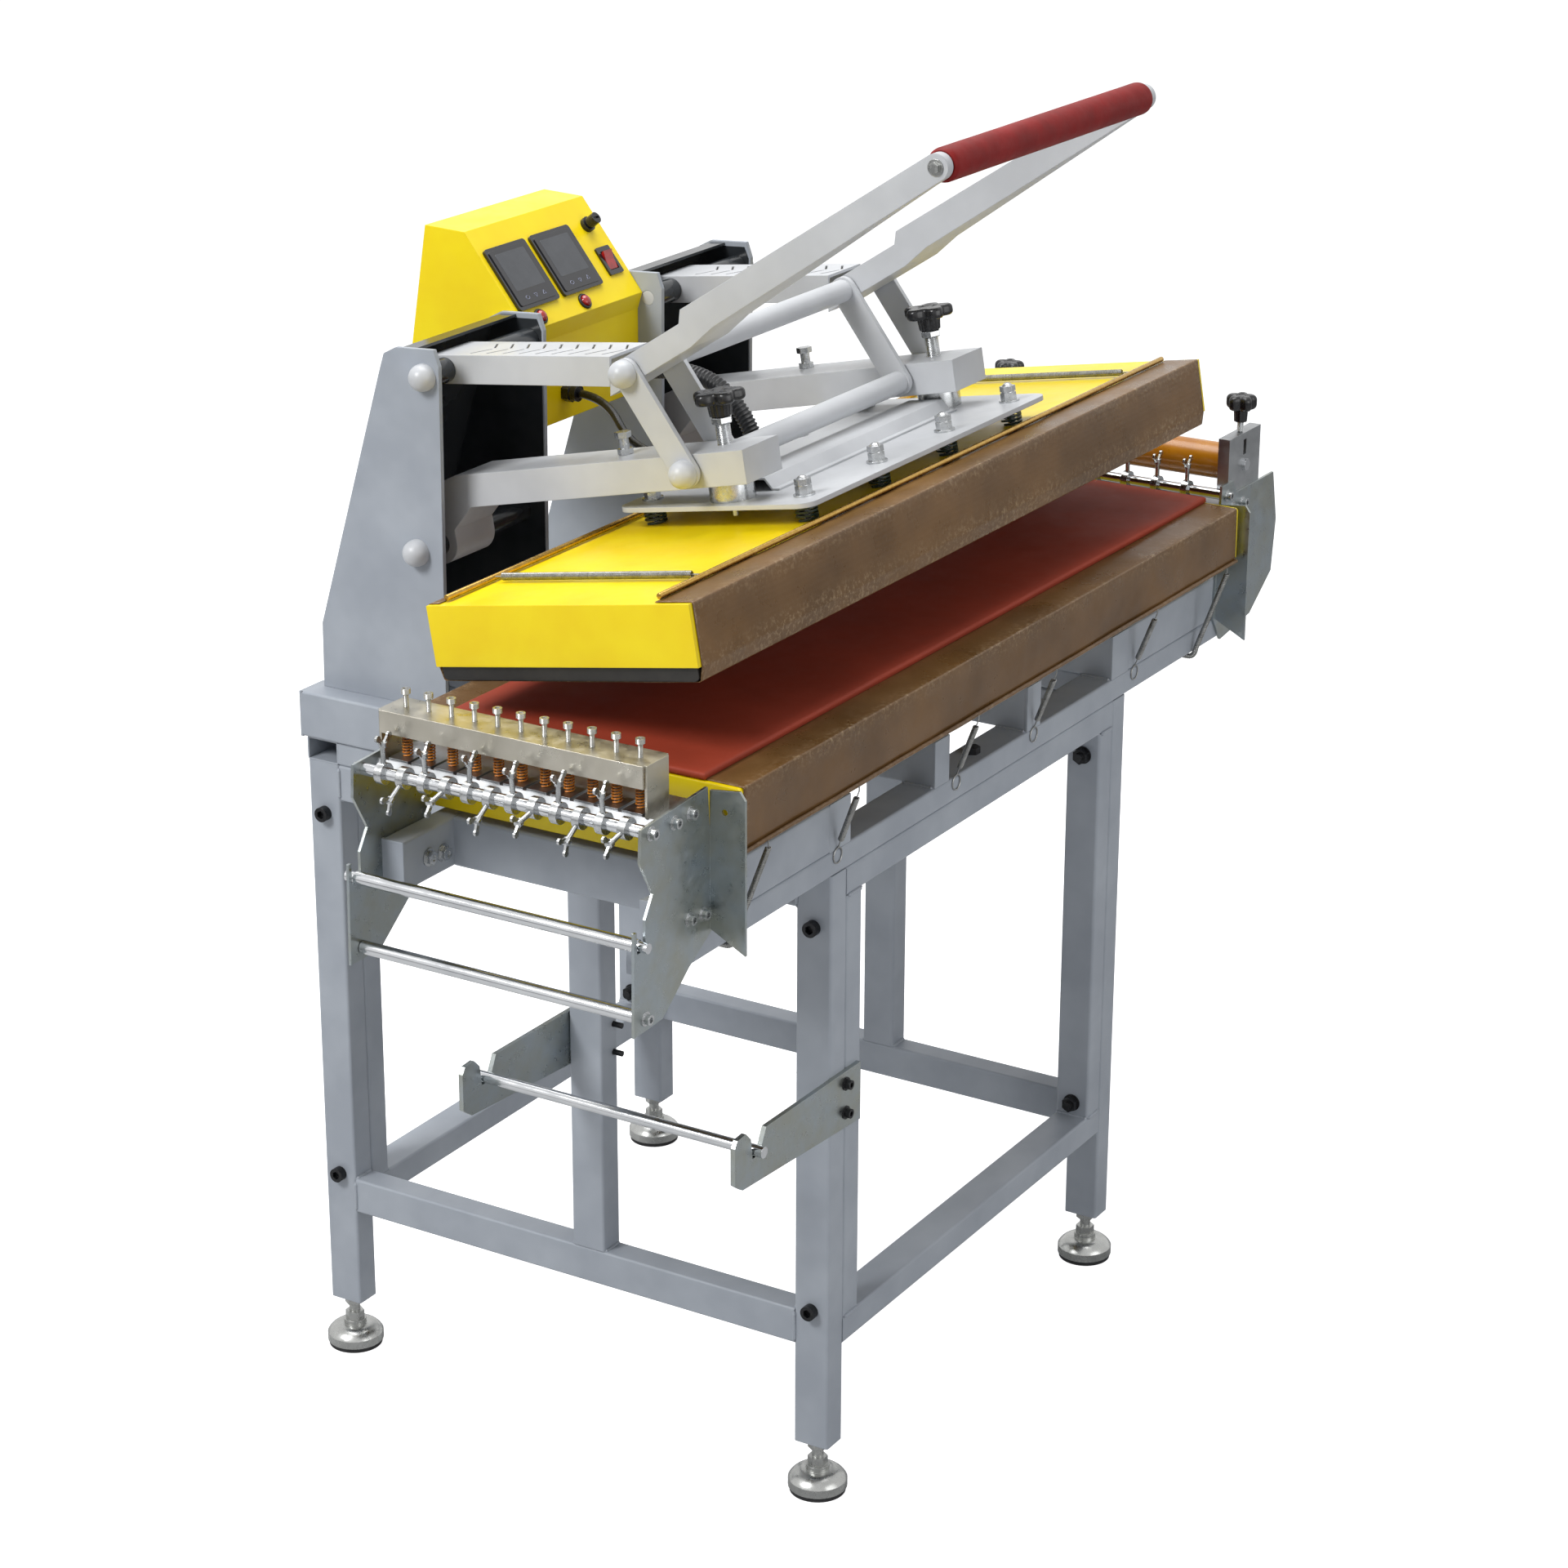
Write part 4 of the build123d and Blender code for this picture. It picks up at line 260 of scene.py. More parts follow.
def add_node(tree: bpy.types.NodeTree, kind: str, settings: dict | None = None,
             links: dict | None = None) -> bpy.types.Node:
    """Add one node with its settings and links.

    Args:
        tree: Node tree that takes the node.
        kind: The node's type name.
        settings: Plain values, by attribute, or by socket name or number.
        links: Output sockets that feed the node, by socket name or number.

    Returns:
        The new node.
    """
    node = tree.nodes.new(kind)
    for name, value in (settings or {}).items():
        if isinstance(name, str) and hasattr(node, name):
            setattr(node, name, value)
        else:
            node.inputs[name].default_value = value
    for name, source in (links or {}).items():
        tree.links.new(source, node.inputs[name])
    return node


# How far a noise is drawn out on each axis; a small factor makes long lines along that axis
DRAWN_OUT = {
    Making.DRAWN_X: (0.02, 1.0, 1.0),
    Making.DRAWN_Y: (1.0, 0.02, 1.0),
    Making.TURNED: (0.05, 0.05, 1.0),
}


def fine_pattern(tree: bpy.types.NodeTree, finish: Finish,
                 place: bpy.types.NodeSocket) -> bpy.types.NodeSocket:
    """Build the height of a finish's fine pattern.

    Args:
        tree: Node tree of the material.
        finish: Finish whose making picks the pattern.
        place: Object coordinates in millimetres.

    Returns:
        Socket with the height, about 0 to 1.
    """
    scale = 1.0 / finish.grain_mm
    if finish.making in DRAWN_OUT:
        drawn = add_node(tree, "ShaderNodeMapping", {"Scale": DRAWN_OUT[finish.making]}, {"Vector": place})
        lines = add_node(tree, "ShaderNodeTexNoise", {"Scale": scale, "Detail": 3.0},
                         {"Vector": drawn.outputs["Vector"]})
        return lines.outputs["Fac"]
    if finish.making is Making.WOVEN:
        threads = []
        for axis in ("X", "Y"):
            wave = add_node(tree, "ShaderNodeTexWave",
                            {"bands_direction": axis, "Scale": scale / 2.0, "Distortion": 0.6,
                             "Detail": 1.0, "Detail Scale": 0.05}, {"Vector": place})
            threads.append(wave.outputs["Fac"])
        cross = add_node(tree, "ShaderNodeMath", {"operation": "MULTIPLY"}, {0: threads[0], 1: threads[1]})
        return cross.outputs["Value"]
    if finish.making is Making.THREADED:
        wave = add_node(tree, "ShaderNodeTexWave",
                        {"bands_direction": "Z", "wave_profile": "TRI", "Scale": scale / 2.0,
                         "Detail": 0.0}, {"Vector": place})
        return wave.outputs["Fac"]
    if finish.making is Making.FOAMED:
        cells = add_node(tree, "ShaderNodeTexVoronoi", {"Scale": scale}, {"Vector": place})
        return cells.outputs["Distance"]
    grain = add_node(tree, "ShaderNodeTexNoise", {"Scale": scale, "Detail": 2.0, "Roughness": 0.55},
                     {"Vector": place})
    return grain.outputs["Fac"]


def edge_wear(tree: bpy.types.NodeTree, finish: Finish,
              place: bpy.types.NodeSocket) -> bpy.types.NodeSocket:
    """Find rubbed edges: where a widely rounded normal leaves the true one, broken up by noise.

    Args:
        tree: Node tree of the material.
        finish: Finish with the wear and the edge radius.
        place: Object coordinates in millimetres.

    Returns:
        Socket with the share of the worn colour.
    """
    wide = add_node(tree, "ShaderNodeBevel", {"samples": 4, "Radius": 1.6 * finish.edge_mm * MM})
    true = add_node(tree, "ShaderNodeNewGeometry")
    match = add_node(tree, "ShaderNodeVectorMath", {"operation": "DOT_PRODUCT"},
                     {0: wide.outputs["Normal"], 1: true.outputs["True Normal"]})
    edge = add_node(tree, "ShaderNodeMapRange",
                    {"From Min": 0.97, "From Max": 0.85, "To Min": 0.0, "To Max": 1.0},
                    {"Value": match.outputs["Value"]})
    rubbed = add_node(tree, "ShaderNodeTexNoise", {"Scale": 1.0 / 14.0, "Detail": 5.0, "Roughness": 0.7},
                      {"Vector": place})
    broken = add_node(tree, "ShaderNodeMapRange",
                      {"From Min": 0.62 - 0.25 * finish.wear, "From Max": 0.72,
                       "To Min": 0.0, "To Max": finish.wear},
                      {"Value": rubbed.outputs["Fac"]})
    both = add_node(tree, "ShaderNodeMath", {"operation": "MULTIPLY"},
                    {0: edge.outputs["Result"], 1: broken.outputs["Result"]})
    return both.outputs["Value"]


MATERIALS: dict[str, bpy.types.Material] = {}


def make_material(finish: Finish) -> bpy.types.Material:
    """Build a finish's material once, from Object coordinates.

    Args:
        finish: The finish.

    Returns:
        The material.
    """
    if finish.name in MATERIALS:
        return MATERIALS[finish.name]
    material = bpy.data.materials.new(finish.name)
    material.use_nodes = True
    tree = material.node_tree
    tree.nodes.clear()
    coordinates = add_node(tree, "ShaderNodeTexCoord")
    millimetres = add_node(tree, "ShaderNodeMapping", {"Scale": (1 / MM, 1 / MM, 1 / MM)},
                           {"Vector": coordinates.outputs["Object"]})
    place = millimetres.outputs["Vector"]
    patches = add_node(tree, "ShaderNodeTexNoise",
                       {"Scale": 1.0 / finish.patch_mm, "Detail": 3.0, "Roughness": 0.6}, {"Vector": place})
    clouds = add_node(tree, "ShaderNodeMapRange", {"From Min": 0.35, "From Max": 0.65},
                      {"Value": patches.outputs["Fac"]})
    colour = add_node(tree, "ShaderNodeMix", {"data_type": "RGBA", 6: linear(finish.colour),
                                              7: linear(finish.second)}, {0: clouds.outputs["Result"]})
    shade = colour.outputs[2]
    if finish.making is Making.WOVEN:
        # On the cloth the fold attribute mixes in the pale worn colour: partly rubbing, partly painted
        # highlight on the folds
        rubbed = add_node(tree, "ShaderNodeAttribute", {"attribute_name": "fold"})
        scuffs = add_node(tree, "ShaderNodeTexNoise", {"Scale": 1.0 / 5.0, "Detail": 6.0, "Roughness": 0.75},
                          {"Vector": place})
        sharp = add_node(tree, "ShaderNodeMapRange", {"From Min": 0.5, "From Max": 0.66},
                         {"Value": scuffs.outputs["Fac"]})
        share = add_node(tree, "ShaderNodeMath", {"operation": "MULTIPLY"},
                         {0: sharp.outputs["Result"], 1: rubbed.outputs["Fac"]})
        colour = add_node(tree, "ShaderNodeMix", {"data_type": "RGBA", 7: linear(finish.worn)},
                          {0: share.outputs["Value"], 6: shade})
        shade = colour.outputs[2]
    elif finish.worn:
        colour = add_node(tree, "ShaderNodeMix", {"data_type": "RGBA", 7: linear(finish.worn)},
                          {0: edge_wear(tree, finish, place), 6: shade})
        shade = colour.outputs[2]
    smears = add_node(tree, "ShaderNodeTexNoise",
                      {"Scale": 2.7 / finish.patch_mm, "Detail": 4.0, "Roughness": 0.65}, {"Vector": place})
    gloss = add_node(tree, "ShaderNodeMapRange",
                     {"From Min": 0.3, "From Max": 0.7, "To Min": finish.roughness - finish.spread,
                      "To Max": finish.roughness + finish.spread}, {"Value": smears.outputs["Fac"]})
    rounded = add_node(tree, "ShaderNodeBevel", {"samples": 4, "Radius": finish.edge_mm * MM})
    relief = add_node(tree, "ShaderNodeBump", {"Strength": 1.0, "Distance": finish.depth_mm * MM},
                      {"Height": fine_pattern(tree, finish, place), "Normal": rounded.outputs["Normal"]})
    settings = {"Metallic": finish.metallic, "Coat Weight": finish.coat, "Coat Roughness": 0.1}
    if finish.metallic < 1.0:
        settings["IOR"] = finish.ior
    shader = add_node(tree, "ShaderNodeBsdfPrincipled", settings,
                      {"Base Color": shade, "Roughness": gloss.outputs["Result"],
                       "Normal": relief.outputs["Normal"]})
    add_node(tree, "ShaderNodeOutputMaterial", links={"Surface": shader.outputs["BSDF"]})
    MATERIALS[finish.name] = material
    return material


def dress(nodes: Iterable[str], finish: Finish) -> None:
    """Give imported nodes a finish.

    Args:
        nodes: Names of the nodes.
        finish: The finish that they take.
    """
    for name in nodes:
        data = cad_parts[name].data
        data.materials.clear()
        data.materials.append(make_material(finish))
        LOG.info("dressed %s in %s", name, finish.name)


class Shape:
    """Mesh under construction, gathered from grids of points."""

    def __init__(self) -> None:
        """Start with no points."""
        self.points: list[np.ndarray] = []
        self.faces: list[Sequence[int]] = []
        self.marks: list[np.ndarray] = []
        self.count = 0

    def grid(self, points: np.ndarray, closed: bool = False, capped: bool = False,
             marks: np.ndarray | None = None) -> "Shape":
        """Add a grid: point (i, j) joins (i, j + 1), (i + 1, j + 1) and (i + 1, j).

        Args:
            points: Array of rows by columns by 3, in metres.
            closed: Join the last column to the first, as round a tube.
            capped: Close the first and the last row with a face.
            marks: Value per point for the fold attribute, the share of the worn colour; on the cloth that is
                rubbing plus painted highlight.

        Returns:
            This shape.
        """
        rows, columns = points.shape[:2]
        number = np.arange(rows * columns).reshape(rows, columns) + self.count
        wrapped = np.concatenate([number, number[:, :1]], axis=1) if closed else number
        quads = np.stack([wrapped[:-1, :-1], wrapped[:-1, 1:], wrapped[1:, 1:], wrapped[1:, :-1]], axis=-1)
        self.faces.extend(quads.reshape(-1, 4).tolist())
        if capped:
            self.faces.append(number[0, ::-1].tolist())
            self.faces.append(number[-1].tolist())
        self.points.append(points.reshape(-1, 3))
        self.marks.append(np.zeros(rows * columns) if marks is None else marks.reshape(-1))
        self.count += rows * columns
        return self

    def tube(self, path: np.ndarray, section: np.ndarray, across: np.ndarray,
             scale: np.ndarray | float = 1.0) -> "Shape":
        """Add a section carried along a path, with both ends closed.

        Args:
            path: Points of the centre line.
            section: Points (u, v) of the section.
            across: Steady vector, or one per point, never along the path.
            scale: Size of the section at each point of the path.

        Returns:
            This shape.
        """
        return self.grid(carried(path, section, across, scale), closed=True, capped=True)

    def turned(self, profile: np.ndarray, centre: Sequence[float], axis: Sequence[float], sides: int,
               capped: bool = True) -> "Shape":
        """Add a turned surface.

        Args:
            profile: Points (radius, height) from one end of the axis to the other.
            centre: Point on the axis at height 0.
            axis: Direction of the axis.
            sides: Points round the axis.
            capped: Close both ends with a face.

        Returns:
            This shape.
        """
        return self.grid(lathe(profile, centre, axis, sides), closed=True, capped=capped)

    def build(self, name: str, finish: Finish, body: str, slot: str, replaces: Sequence[str] = (),
              sharp_degrees: float = 40.0, outward: bool = True) -> bpy.types.Object:
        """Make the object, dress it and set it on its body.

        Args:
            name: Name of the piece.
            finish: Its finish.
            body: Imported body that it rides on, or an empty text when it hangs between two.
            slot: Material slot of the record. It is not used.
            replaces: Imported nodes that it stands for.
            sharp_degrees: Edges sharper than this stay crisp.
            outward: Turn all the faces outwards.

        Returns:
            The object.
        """
        data = bpy.data.meshes.new(name)
        data.from_pydata(np.concatenate(self.points).tolist(), [], self.faces)
        fold = data.attributes.new("fold", "FLOAT", "POINT")
        fold.data.foreach_set("value", np.concatenate(self.marks).astype(np.float32))
        if outward:
            work = bmesh.new()
            work.from_mesh(data)
            bmesh.ops.recalc_face_normals(work, faces=work.faces)
            work.to_mesh(data)
            work.free()
        data.polygons.foreach_set("use_smooth", np.ones(len(data.polygons), bool))
        data.set_sharp_from_angle(angle=math.radians(sharp_degrees))
        data.materials.append(make_material(finish))
        piece = bpy.data.objects.new(name, data)
        bpy.context.scene.collection.objects.link(piece)
        if replaces:
            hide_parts(*replaces)
        if body:
            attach(piece, body)
        LOG.info("built %s, %d points", name, self.count)
        return piece


def opened(points: np.ndarray) -> np.ndarray:
    """Turn points of the press head from the closed place to the open one, about the head pivot.

    Args:
        points: Points in the closed place, one or many.

    Returns:
        The points in the open place.
    """
    angle = math.radians(-HEAD_TRAVEL)
    turned = np.array(points, float)
    y = turned[..., 1] - HEAD_PIVOT[0]
    z = turned[..., 2] - HEAD_PIVOT[1]
    turned[..., 1] = HEAD_PIVOT[0] + y * math.cos(angle) - z * math.sin(angle)
    turned[..., 2] = HEAD_PIVOT[1] + y * math.sin(angle) + z * math.cos(angle)
    return turned


def unit(vectors: np.ndarray) -> np.ndarray:
    """Vectors scaled to a length of 1."""
    return vectors / np.linalg.norm(vectors, axis=-1, keepdims=True)


def round_section(radius: float, sides: int) -> np.ndarray:
    """Circle of a radius as points round a section."""
    angle = np.linspace(0, 2 * np.pi, sides, endpoint=False)
    return radius * np.stack([np.cos(angle), np.sin(angle)], axis=-1)


def distances(path: np.ndarray) -> np.ndarray:
    """Distance along a path to each of its points."""
    return np.concatenate([[0.0], np.cumsum(np.linalg.norm(np.diff(path, axis=0), axis=1))])


def spread(path: np.ndarray, place: np.ndarray) -> np.ndarray:
    """Points at given distances along a path in space."""
    return np.stack([np.interp(place, distances(path), path[:, k]) for k in range(3)], axis=-1)


def carried(path: np.ndarray, section: np.ndarray, across: np.ndarray,
            scale: np.ndarray | float = 1.0) -> np.ndarray:
    """Carry a section along a path: point = path + scale (u side + v up).

    Side is the path's direction crossed with a steady vector, and up is square to both.

    Args:
        path: Points of the centre line.
        section: Points (u, v) of the section.
        across: Steady vector, or one per point, never along the path.
        scale: Size of the section at each point of the path.

    Returns:
        Grid of points, one row for each point of the path.
    """
    ahead = unit(np.gradient(path, axis=0))
    side = unit(np.cross(ahead, np.broadcast_to(across, path.shape)))
    up = np.cross(side, ahead)
    size = np.broadcast_to(scale, len(path))[:, None, None]
    return path[:, None] + size * (section[None, :, :1] * side[:, None] + section[None, :, 1:] * up[:, None])


def helix(start: Sequence[float], end: Sequence[float], radius: float, turns: float,
          steps: int) -> np.ndarray:
    """Centre line of a coil: a circle's point carried evenly from the start to the end.

    Args:
        start: Middle of the first turn.
        end: Middle of the last turn.
        radius: Radius of the wire's centre line.
        turns: Number of turns.
        steps: Points in a turn.

    Returns:
        Points along the wire.
    """
    low, high = np.array(start, float), np.array(end, float)
    axis = unit(high - low)
    slanted = [0.31, 0.87, 0.41]
    first = unit(np.cross(axis, slanted))
    second = np.cross(axis, first)
    share = np.linspace(0, 1, int(turns * steps) + 1)[:, None]
    angle = 2 * np.pi * turns * share
    return low + share * (high - low) + radius * (np.cos(angle) * first + np.sin(angle) * second)


def coil(shape: Shape, start: Sequence[float], end: Sequence[float], radius: float,
         section: np.ndarray, turns: float, steps: int) -> None:
    """Add one coil spring to a shape: its wire's section carried along a helix.

    Args:
        shape: Shape that takes the coil.
        start: Middle of the first turn.
        end: Middle of the last turn.
        radius: Radius of the wire's centre line.
        section: Section of the wire.
        turns: Number of turns.
        steps: Points in a turn.
    """
    axis = unit(np.array(end, float) - np.array(start, float))
    shape.tube(helix(start, end, radius, turns, steps), section, axis)


def lathe(profile: np.ndarray, centre: Sequence[float], axis: Sequence[float], sides: int,
          lobes: np.ndarray | float = 1.0) -> np.ndarray:
    """Turned surface: point = centre + height axis + radius times lobes(angle) away from it.

    Args:
        profile: Points (radius, height) from one end of the axis to the other.
        centre: Point on the axis at height 0.
        axis: Direction of the axis.
        sides: Points round the axis.
        lobes: Factor of the radius at each angle.

    Returns:
        Grid of points.
    """
    along = unit(np.array(axis, float))
    helper = ALONG_X if abs(along[0]) < 0.9 else np.array([0.0, 1.0, 0.0])
    first = unit(np.cross(along, helper))
    second = np.cross(along, first)
    angle = np.linspace(0, 2 * np.pi, sides, endpoint=False)
    away = np.cos(angle)[:, None] * first + np.sin(angle)[:, None] * second
    away = away * np.broadcast_to(lobes, sides)[:, None]
    least_radius = 1e-5
    radius = np.maximum(profile[:, 0], least_radius)
    return np.array(centre, float) + profile[:, 1, None, None] * along + radius[:, None, None] * away[None]


def rounded_profile(radius: float, low: float, high: float, corner: float, steps: int = 5) -> np.ndarray:
    """Profile of a disc: two quarter circles join its flat ends to its side.

    Args:
        radius: Radius of its side.
        low: Height of its lower end.
        high: Height of its upper end.
        corner: Radius of both rims.
        steps: Points on each quarter circle.

    Returns:
        Points (radius, height) from the lower end to the upper one.
    """
    turn = np.linspace(0, np.pi / 2, steps)
    inner = radius - corner
    bottom = np.stack([inner + corner * np.sin(turn), low + corner - corner * np.cos(turn)], axis=-1)
    top = np.stack([inner + corner * np.cos(turn), high - corner + corner * np.sin(turn)], axis=-1)
    return np.concatenate([[[0.0, low]], bottom, top, [[0.0, high]]])


def ripple(x: np.ndarray, s: np.ndarray, seed: float) -> np.ndarray:
    """Soft uneven height: a sum of slanted sine waves with unlike lengths in metres.

    Args:
        x: Places along the first direction.
        s: Places along the second direction.
        seed: Where the waves start.

    Returns:
        Heights, from about -1 to 1.
    """
    return (
        0.40 * np.sin(2 * np.pi * (x / 0.37 + s / 0.61) + seed)
        + 0.28 * np.sin(2 * np.pi * (x / 0.171 - s / 0.23) + 2.3 * seed)
        + 0.20 * np.sin(2 * np.pi * (x / 0.093 + s / 0.11) + 4.1 * seed)
        + 0.12 * np.sin(2 * np.pi * (x / 0.047 - s / 0.07) + 5.9 * seed)
    )


def rounded_route(corners: Sequence[Sequence[float]], reach: float,
                  step: float) -> tuple[np.ndarray, np.ndarray]:
    """Route through corners in the y-z plane, each corner rounded by a quadratic curve.

    Args:
        corners: Points (y, z) of the route.
        reach: Distance from each inner corner at which its curve starts and ends.
        step: Spacing of the points.

    Returns:
        Points of the route, and their distance to the nearest inner corner.
    """
    spots = np.array(corners, float)
    pieces = []
    begin = spots[0]
    for number in range(1, len(spots) - 1):
        corner = spots[number]
        enter = corner + reach * unit(spots[number - 1] - corner)
        leave = corner + reach * unit(spots[number + 1] - corner)
        run = max(int(np.linalg.norm(enter - begin) / step), 1)
        pieces.append(begin + np.linspace(0, 1, run, endpoint=False)[:, None] * (enter - begin))
        t = np.linspace(0, 1, 6, endpoint=False)[:, None]
        pieces.append((1 - t) ** 2 * enter + 2 * t * (1 - t) * corner + t ** 2 * leave)
        begin = leave
    run = max(int(np.linalg.norm(spots[-1] - begin) / step), 1)
    pieces.append(begin + np.linspace(0, 1, run + 1)[:, None] * (spots[-1] - begin))
    route = np.concatenate(pieces)
    away = np.min(np.linalg.norm(route[:, None] - spots[None, 1:-1], axis=-1), axis=1)
    return route, away


@dataclass
class Cloth:
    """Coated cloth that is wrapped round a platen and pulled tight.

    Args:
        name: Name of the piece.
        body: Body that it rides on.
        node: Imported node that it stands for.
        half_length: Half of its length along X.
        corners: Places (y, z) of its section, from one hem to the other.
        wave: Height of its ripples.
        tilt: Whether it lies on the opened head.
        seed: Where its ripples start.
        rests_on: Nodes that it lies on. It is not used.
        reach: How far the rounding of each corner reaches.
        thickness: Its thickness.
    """

    name: str
    body: str
    node: str
    half_length: float
    corners: list[tuple[float, float]]
    wave: float
    tilt: bool
    seed: float
    rests_on: list[str]
    reach: float = 0.002
    thickness: float = 0.45 * MM

    def build(self) -> None:
        """Build the sheet: the section carried along X, lifted by soft ripples."""
        route, away = rounded_route(self.corners, self.reach, 6 * MM)
        ahead = unit(np.gradient(route, axis=0))
        out = np.stack([-ahead[:, 1], ahead[:, 0]], axis=-1)
        if np.sum(out * (route - route.mean(axis=0))) < 0:
            out = -out
        length = distances(route)
        x = np.linspace(-self.half_length, self.half_length, 241)
        grid_x, grid_s = np.meshgrid(x, length)
        taut = np.clip(away / 0.03, 0.12, 1.0)[:, None]
        lift = self.wave * (0.5 + 0.5 * ripple(grid_x, grid_s, self.seed)) * taut
        points = np.empty((len(route), len(x), 3))
        points[..., 0] = grid_x
        points[..., 1] = route[:, None, 0] + out[:, None, 0] * lift
        points[..., 2] = route[:, None, 1] + out[:, None, 1] * lift
        # Pale share near the folds and the ends: partly rubbing, partly painted highlight where light catches
        # the folds
        at_edge = np.exp(-((np.abs(grid_x) - self.half_length) / 0.006) ** 2)
        at_fold = np.exp(-(away / 0.011) ** 2)[:, None]
        patchy = 0.6 + 0.4 * ripple(grid_x, grid_s, 9.1)
        rubbed = np.clip(at_fold * patchy + 0.5 * at_edge, 0, 1)
        if self.tilt:
            points = opened(points)
        shape = Shape().grid(points, marks=rubbed)
        cloth = shape.build(self.name, COATED_CLOTH, self.body, "coated_cloth", [self.node], 60.0,
                            outward=False)
        thick = cloth.modifiers.new("thickness", "SOLIDIFY")
        thick.thickness = self.thickness
        thick.offset = 0.0


@dataclass
class Stand:
    """Welded stand, base frame and feet."""

    half_x: float = 0.320
    half_y: float = 0.320
    leg_x: float = 0.030
    leg_y: float = 0.040
    low_rail: tuple[float, float] = (0.171, 0.211)
    high_rail: tuple[float, float] = (0.653, 0.693)
    side_low: tuple[float, float] = (0.168, 0.198)
    side_high: tuple[float, float] = (0.663, 0.693)
    post_y: tuple[float, float] = (-0.047, -0.007)
    outrigger_x: float = 0.324
    outrigger_y: tuple[float, float] = (-0.029, -0.004)
    outrigger_z: tuple[float, float] = (0.721, 0.767)
    outrigger_end: tuple[float, float] = (-0.3185, -0.2965)
    base_low: float = 0.719
    base_top: float = 0.769
    cross_tubes: tuple[tuple[float, float], ...] = ((0.304, 0.020), (0.100, 0.015))
    cross_y: tuple[float, float] = (-0.318, -0.282)
    upright_x: tuple[float, float] = (0.115, 0.293)
    upright_y: tuple[float, float] = (0.158, 0.300)
    bead: float = 0.0024

    def weld(self, shape: Shape, start: Sequence[float], end: Sequence[float],
             normal: Sequence[float]) -> None:
        """Add a weld bead: a half round run whose radius swells about every 4 mm.

        Args:
            shape: Shape that takes the bead.
            start: Where the bead starts.
            end: Where it ends.
            normal: Way out of the corner that it fills.
        """
        low, high = np.array(start, float), np.array(end, float)
        span = np.linalg.norm(high - low)
        count = max(int(span / (1.0 * MM)), 6)
        share = np.linspace(0, 1, count)
        path = low + share[:, None] * (high - low)
        swell = 0.82 + 0.18 * np.abs(np.sin(np.pi * share * span / (4 * MM)))
        swell = swell * np.clip(np.minimum(share, 1 - share) * span / (2 * MM), 0.3, 1.0)
        shape.tube(path, round_section(self.bead, 8), np.array(normal, float), swell)

    def build_frame_welds(self, shape: Shape, side: int) -> None:
        """Add the beads of one end frame, where its rails meet the legs and the post.

        Args:
            shape: Shape that takes the beads.
            side: Which end, -1 or 1.
        """
        tuck = 0.0015
        trim = 0.003
        outer = side * (self.half_x - tuck)
        inner = side * (self.half_x - self.leg_x + tuck)
        face = side * self.half_x
        corner_x = side * (self.half_x - 2 * self.leg_x)
        start_x = corner_x + side * 0.002
        end_x = start_x + side * 0.026
        for end in (-1, 1):
            front = end * self.half_y
            y = end * (self.half_y - self.leg_y)
            for low, high in (self.low_rail, self.high_rail):
                self.weld(shape, (face, y, low + trim), (face, y, high - trim), (1, 0, 0))
            for z in (self.low_rail[1], self.high_rail[0]):
                self.weld(shape, (outer, y, z), (inner, y, z), (0, 0, 1))
            for z in (self.side_low[1], self.side_high[0]):
                self.weld(shape, (corner_x, front, z), (corner_x, y, z), (1, 0, 0))
                self.weld(shape, (start_x, front, z), (end_x, front, z), (0, 1, 0))
        for y in self.post_y:
            for z in (self.low_rail[1], self.high_rail[0]):
                self.weld(shape, (outer, y, z), (inner, y, z), (0, 1, 0))

    def build_base_welds(self, shape: Shape, side: int) -> None:
        """Add the beads of the base frame at one end, and those under the upright's plates.

        Args:
            shape: Shape that takes the beads.
            side: Which end, -1 or 1.
        """
        rig_x = side * self.outrigger_x
        low, high = self.outrigger_z
        for y in self.outrigger_y:
            self.weld(shape, (rig_x, y, low), (rig_x, y, high), (1, 0, 0))
        front, back = self.outrigger_end
        self.weld(shape, (rig_x, front, self.base_top), (rig_x, back, self.base_top), (0, 0, 1))
        front, back = self.cross_y
        for middle, half in self.cross_tubes:
            for x in (side * middle - half, side * middle + half):
                self.weld(shape, (x, front, self.base_low), (x, back, self.base_low), (1, 0, 0))
        front, back = self.upright_y
        for plate_x in self.upright_x:
            x = side * plate_x
            self.weld(shape, (x, front, self.base_top), (x, back, self.base_top), (1, 0, 0))

    def build(self) -> None:
        """Dress the stand and add its welds."""
        dress(["end_frames", "side_frames", "base_rails", "cross_tubes", "end_outriggers"], STAND_PAINT)
        dress(["frame_screws"], BLACK_OXIDE)
        dress(["foot_cups"], TURNED_STEEL)
        dress(["foot_pads"], FOOT_RUBBER)
        shape = Shape()
        for side in (-1, 1):
            self.build_frame_welds(shape, side)
            self.build_base_welds(shape, side)
        shape.build("weld_beads", STAND_PAINT, "base", "stand_paint")


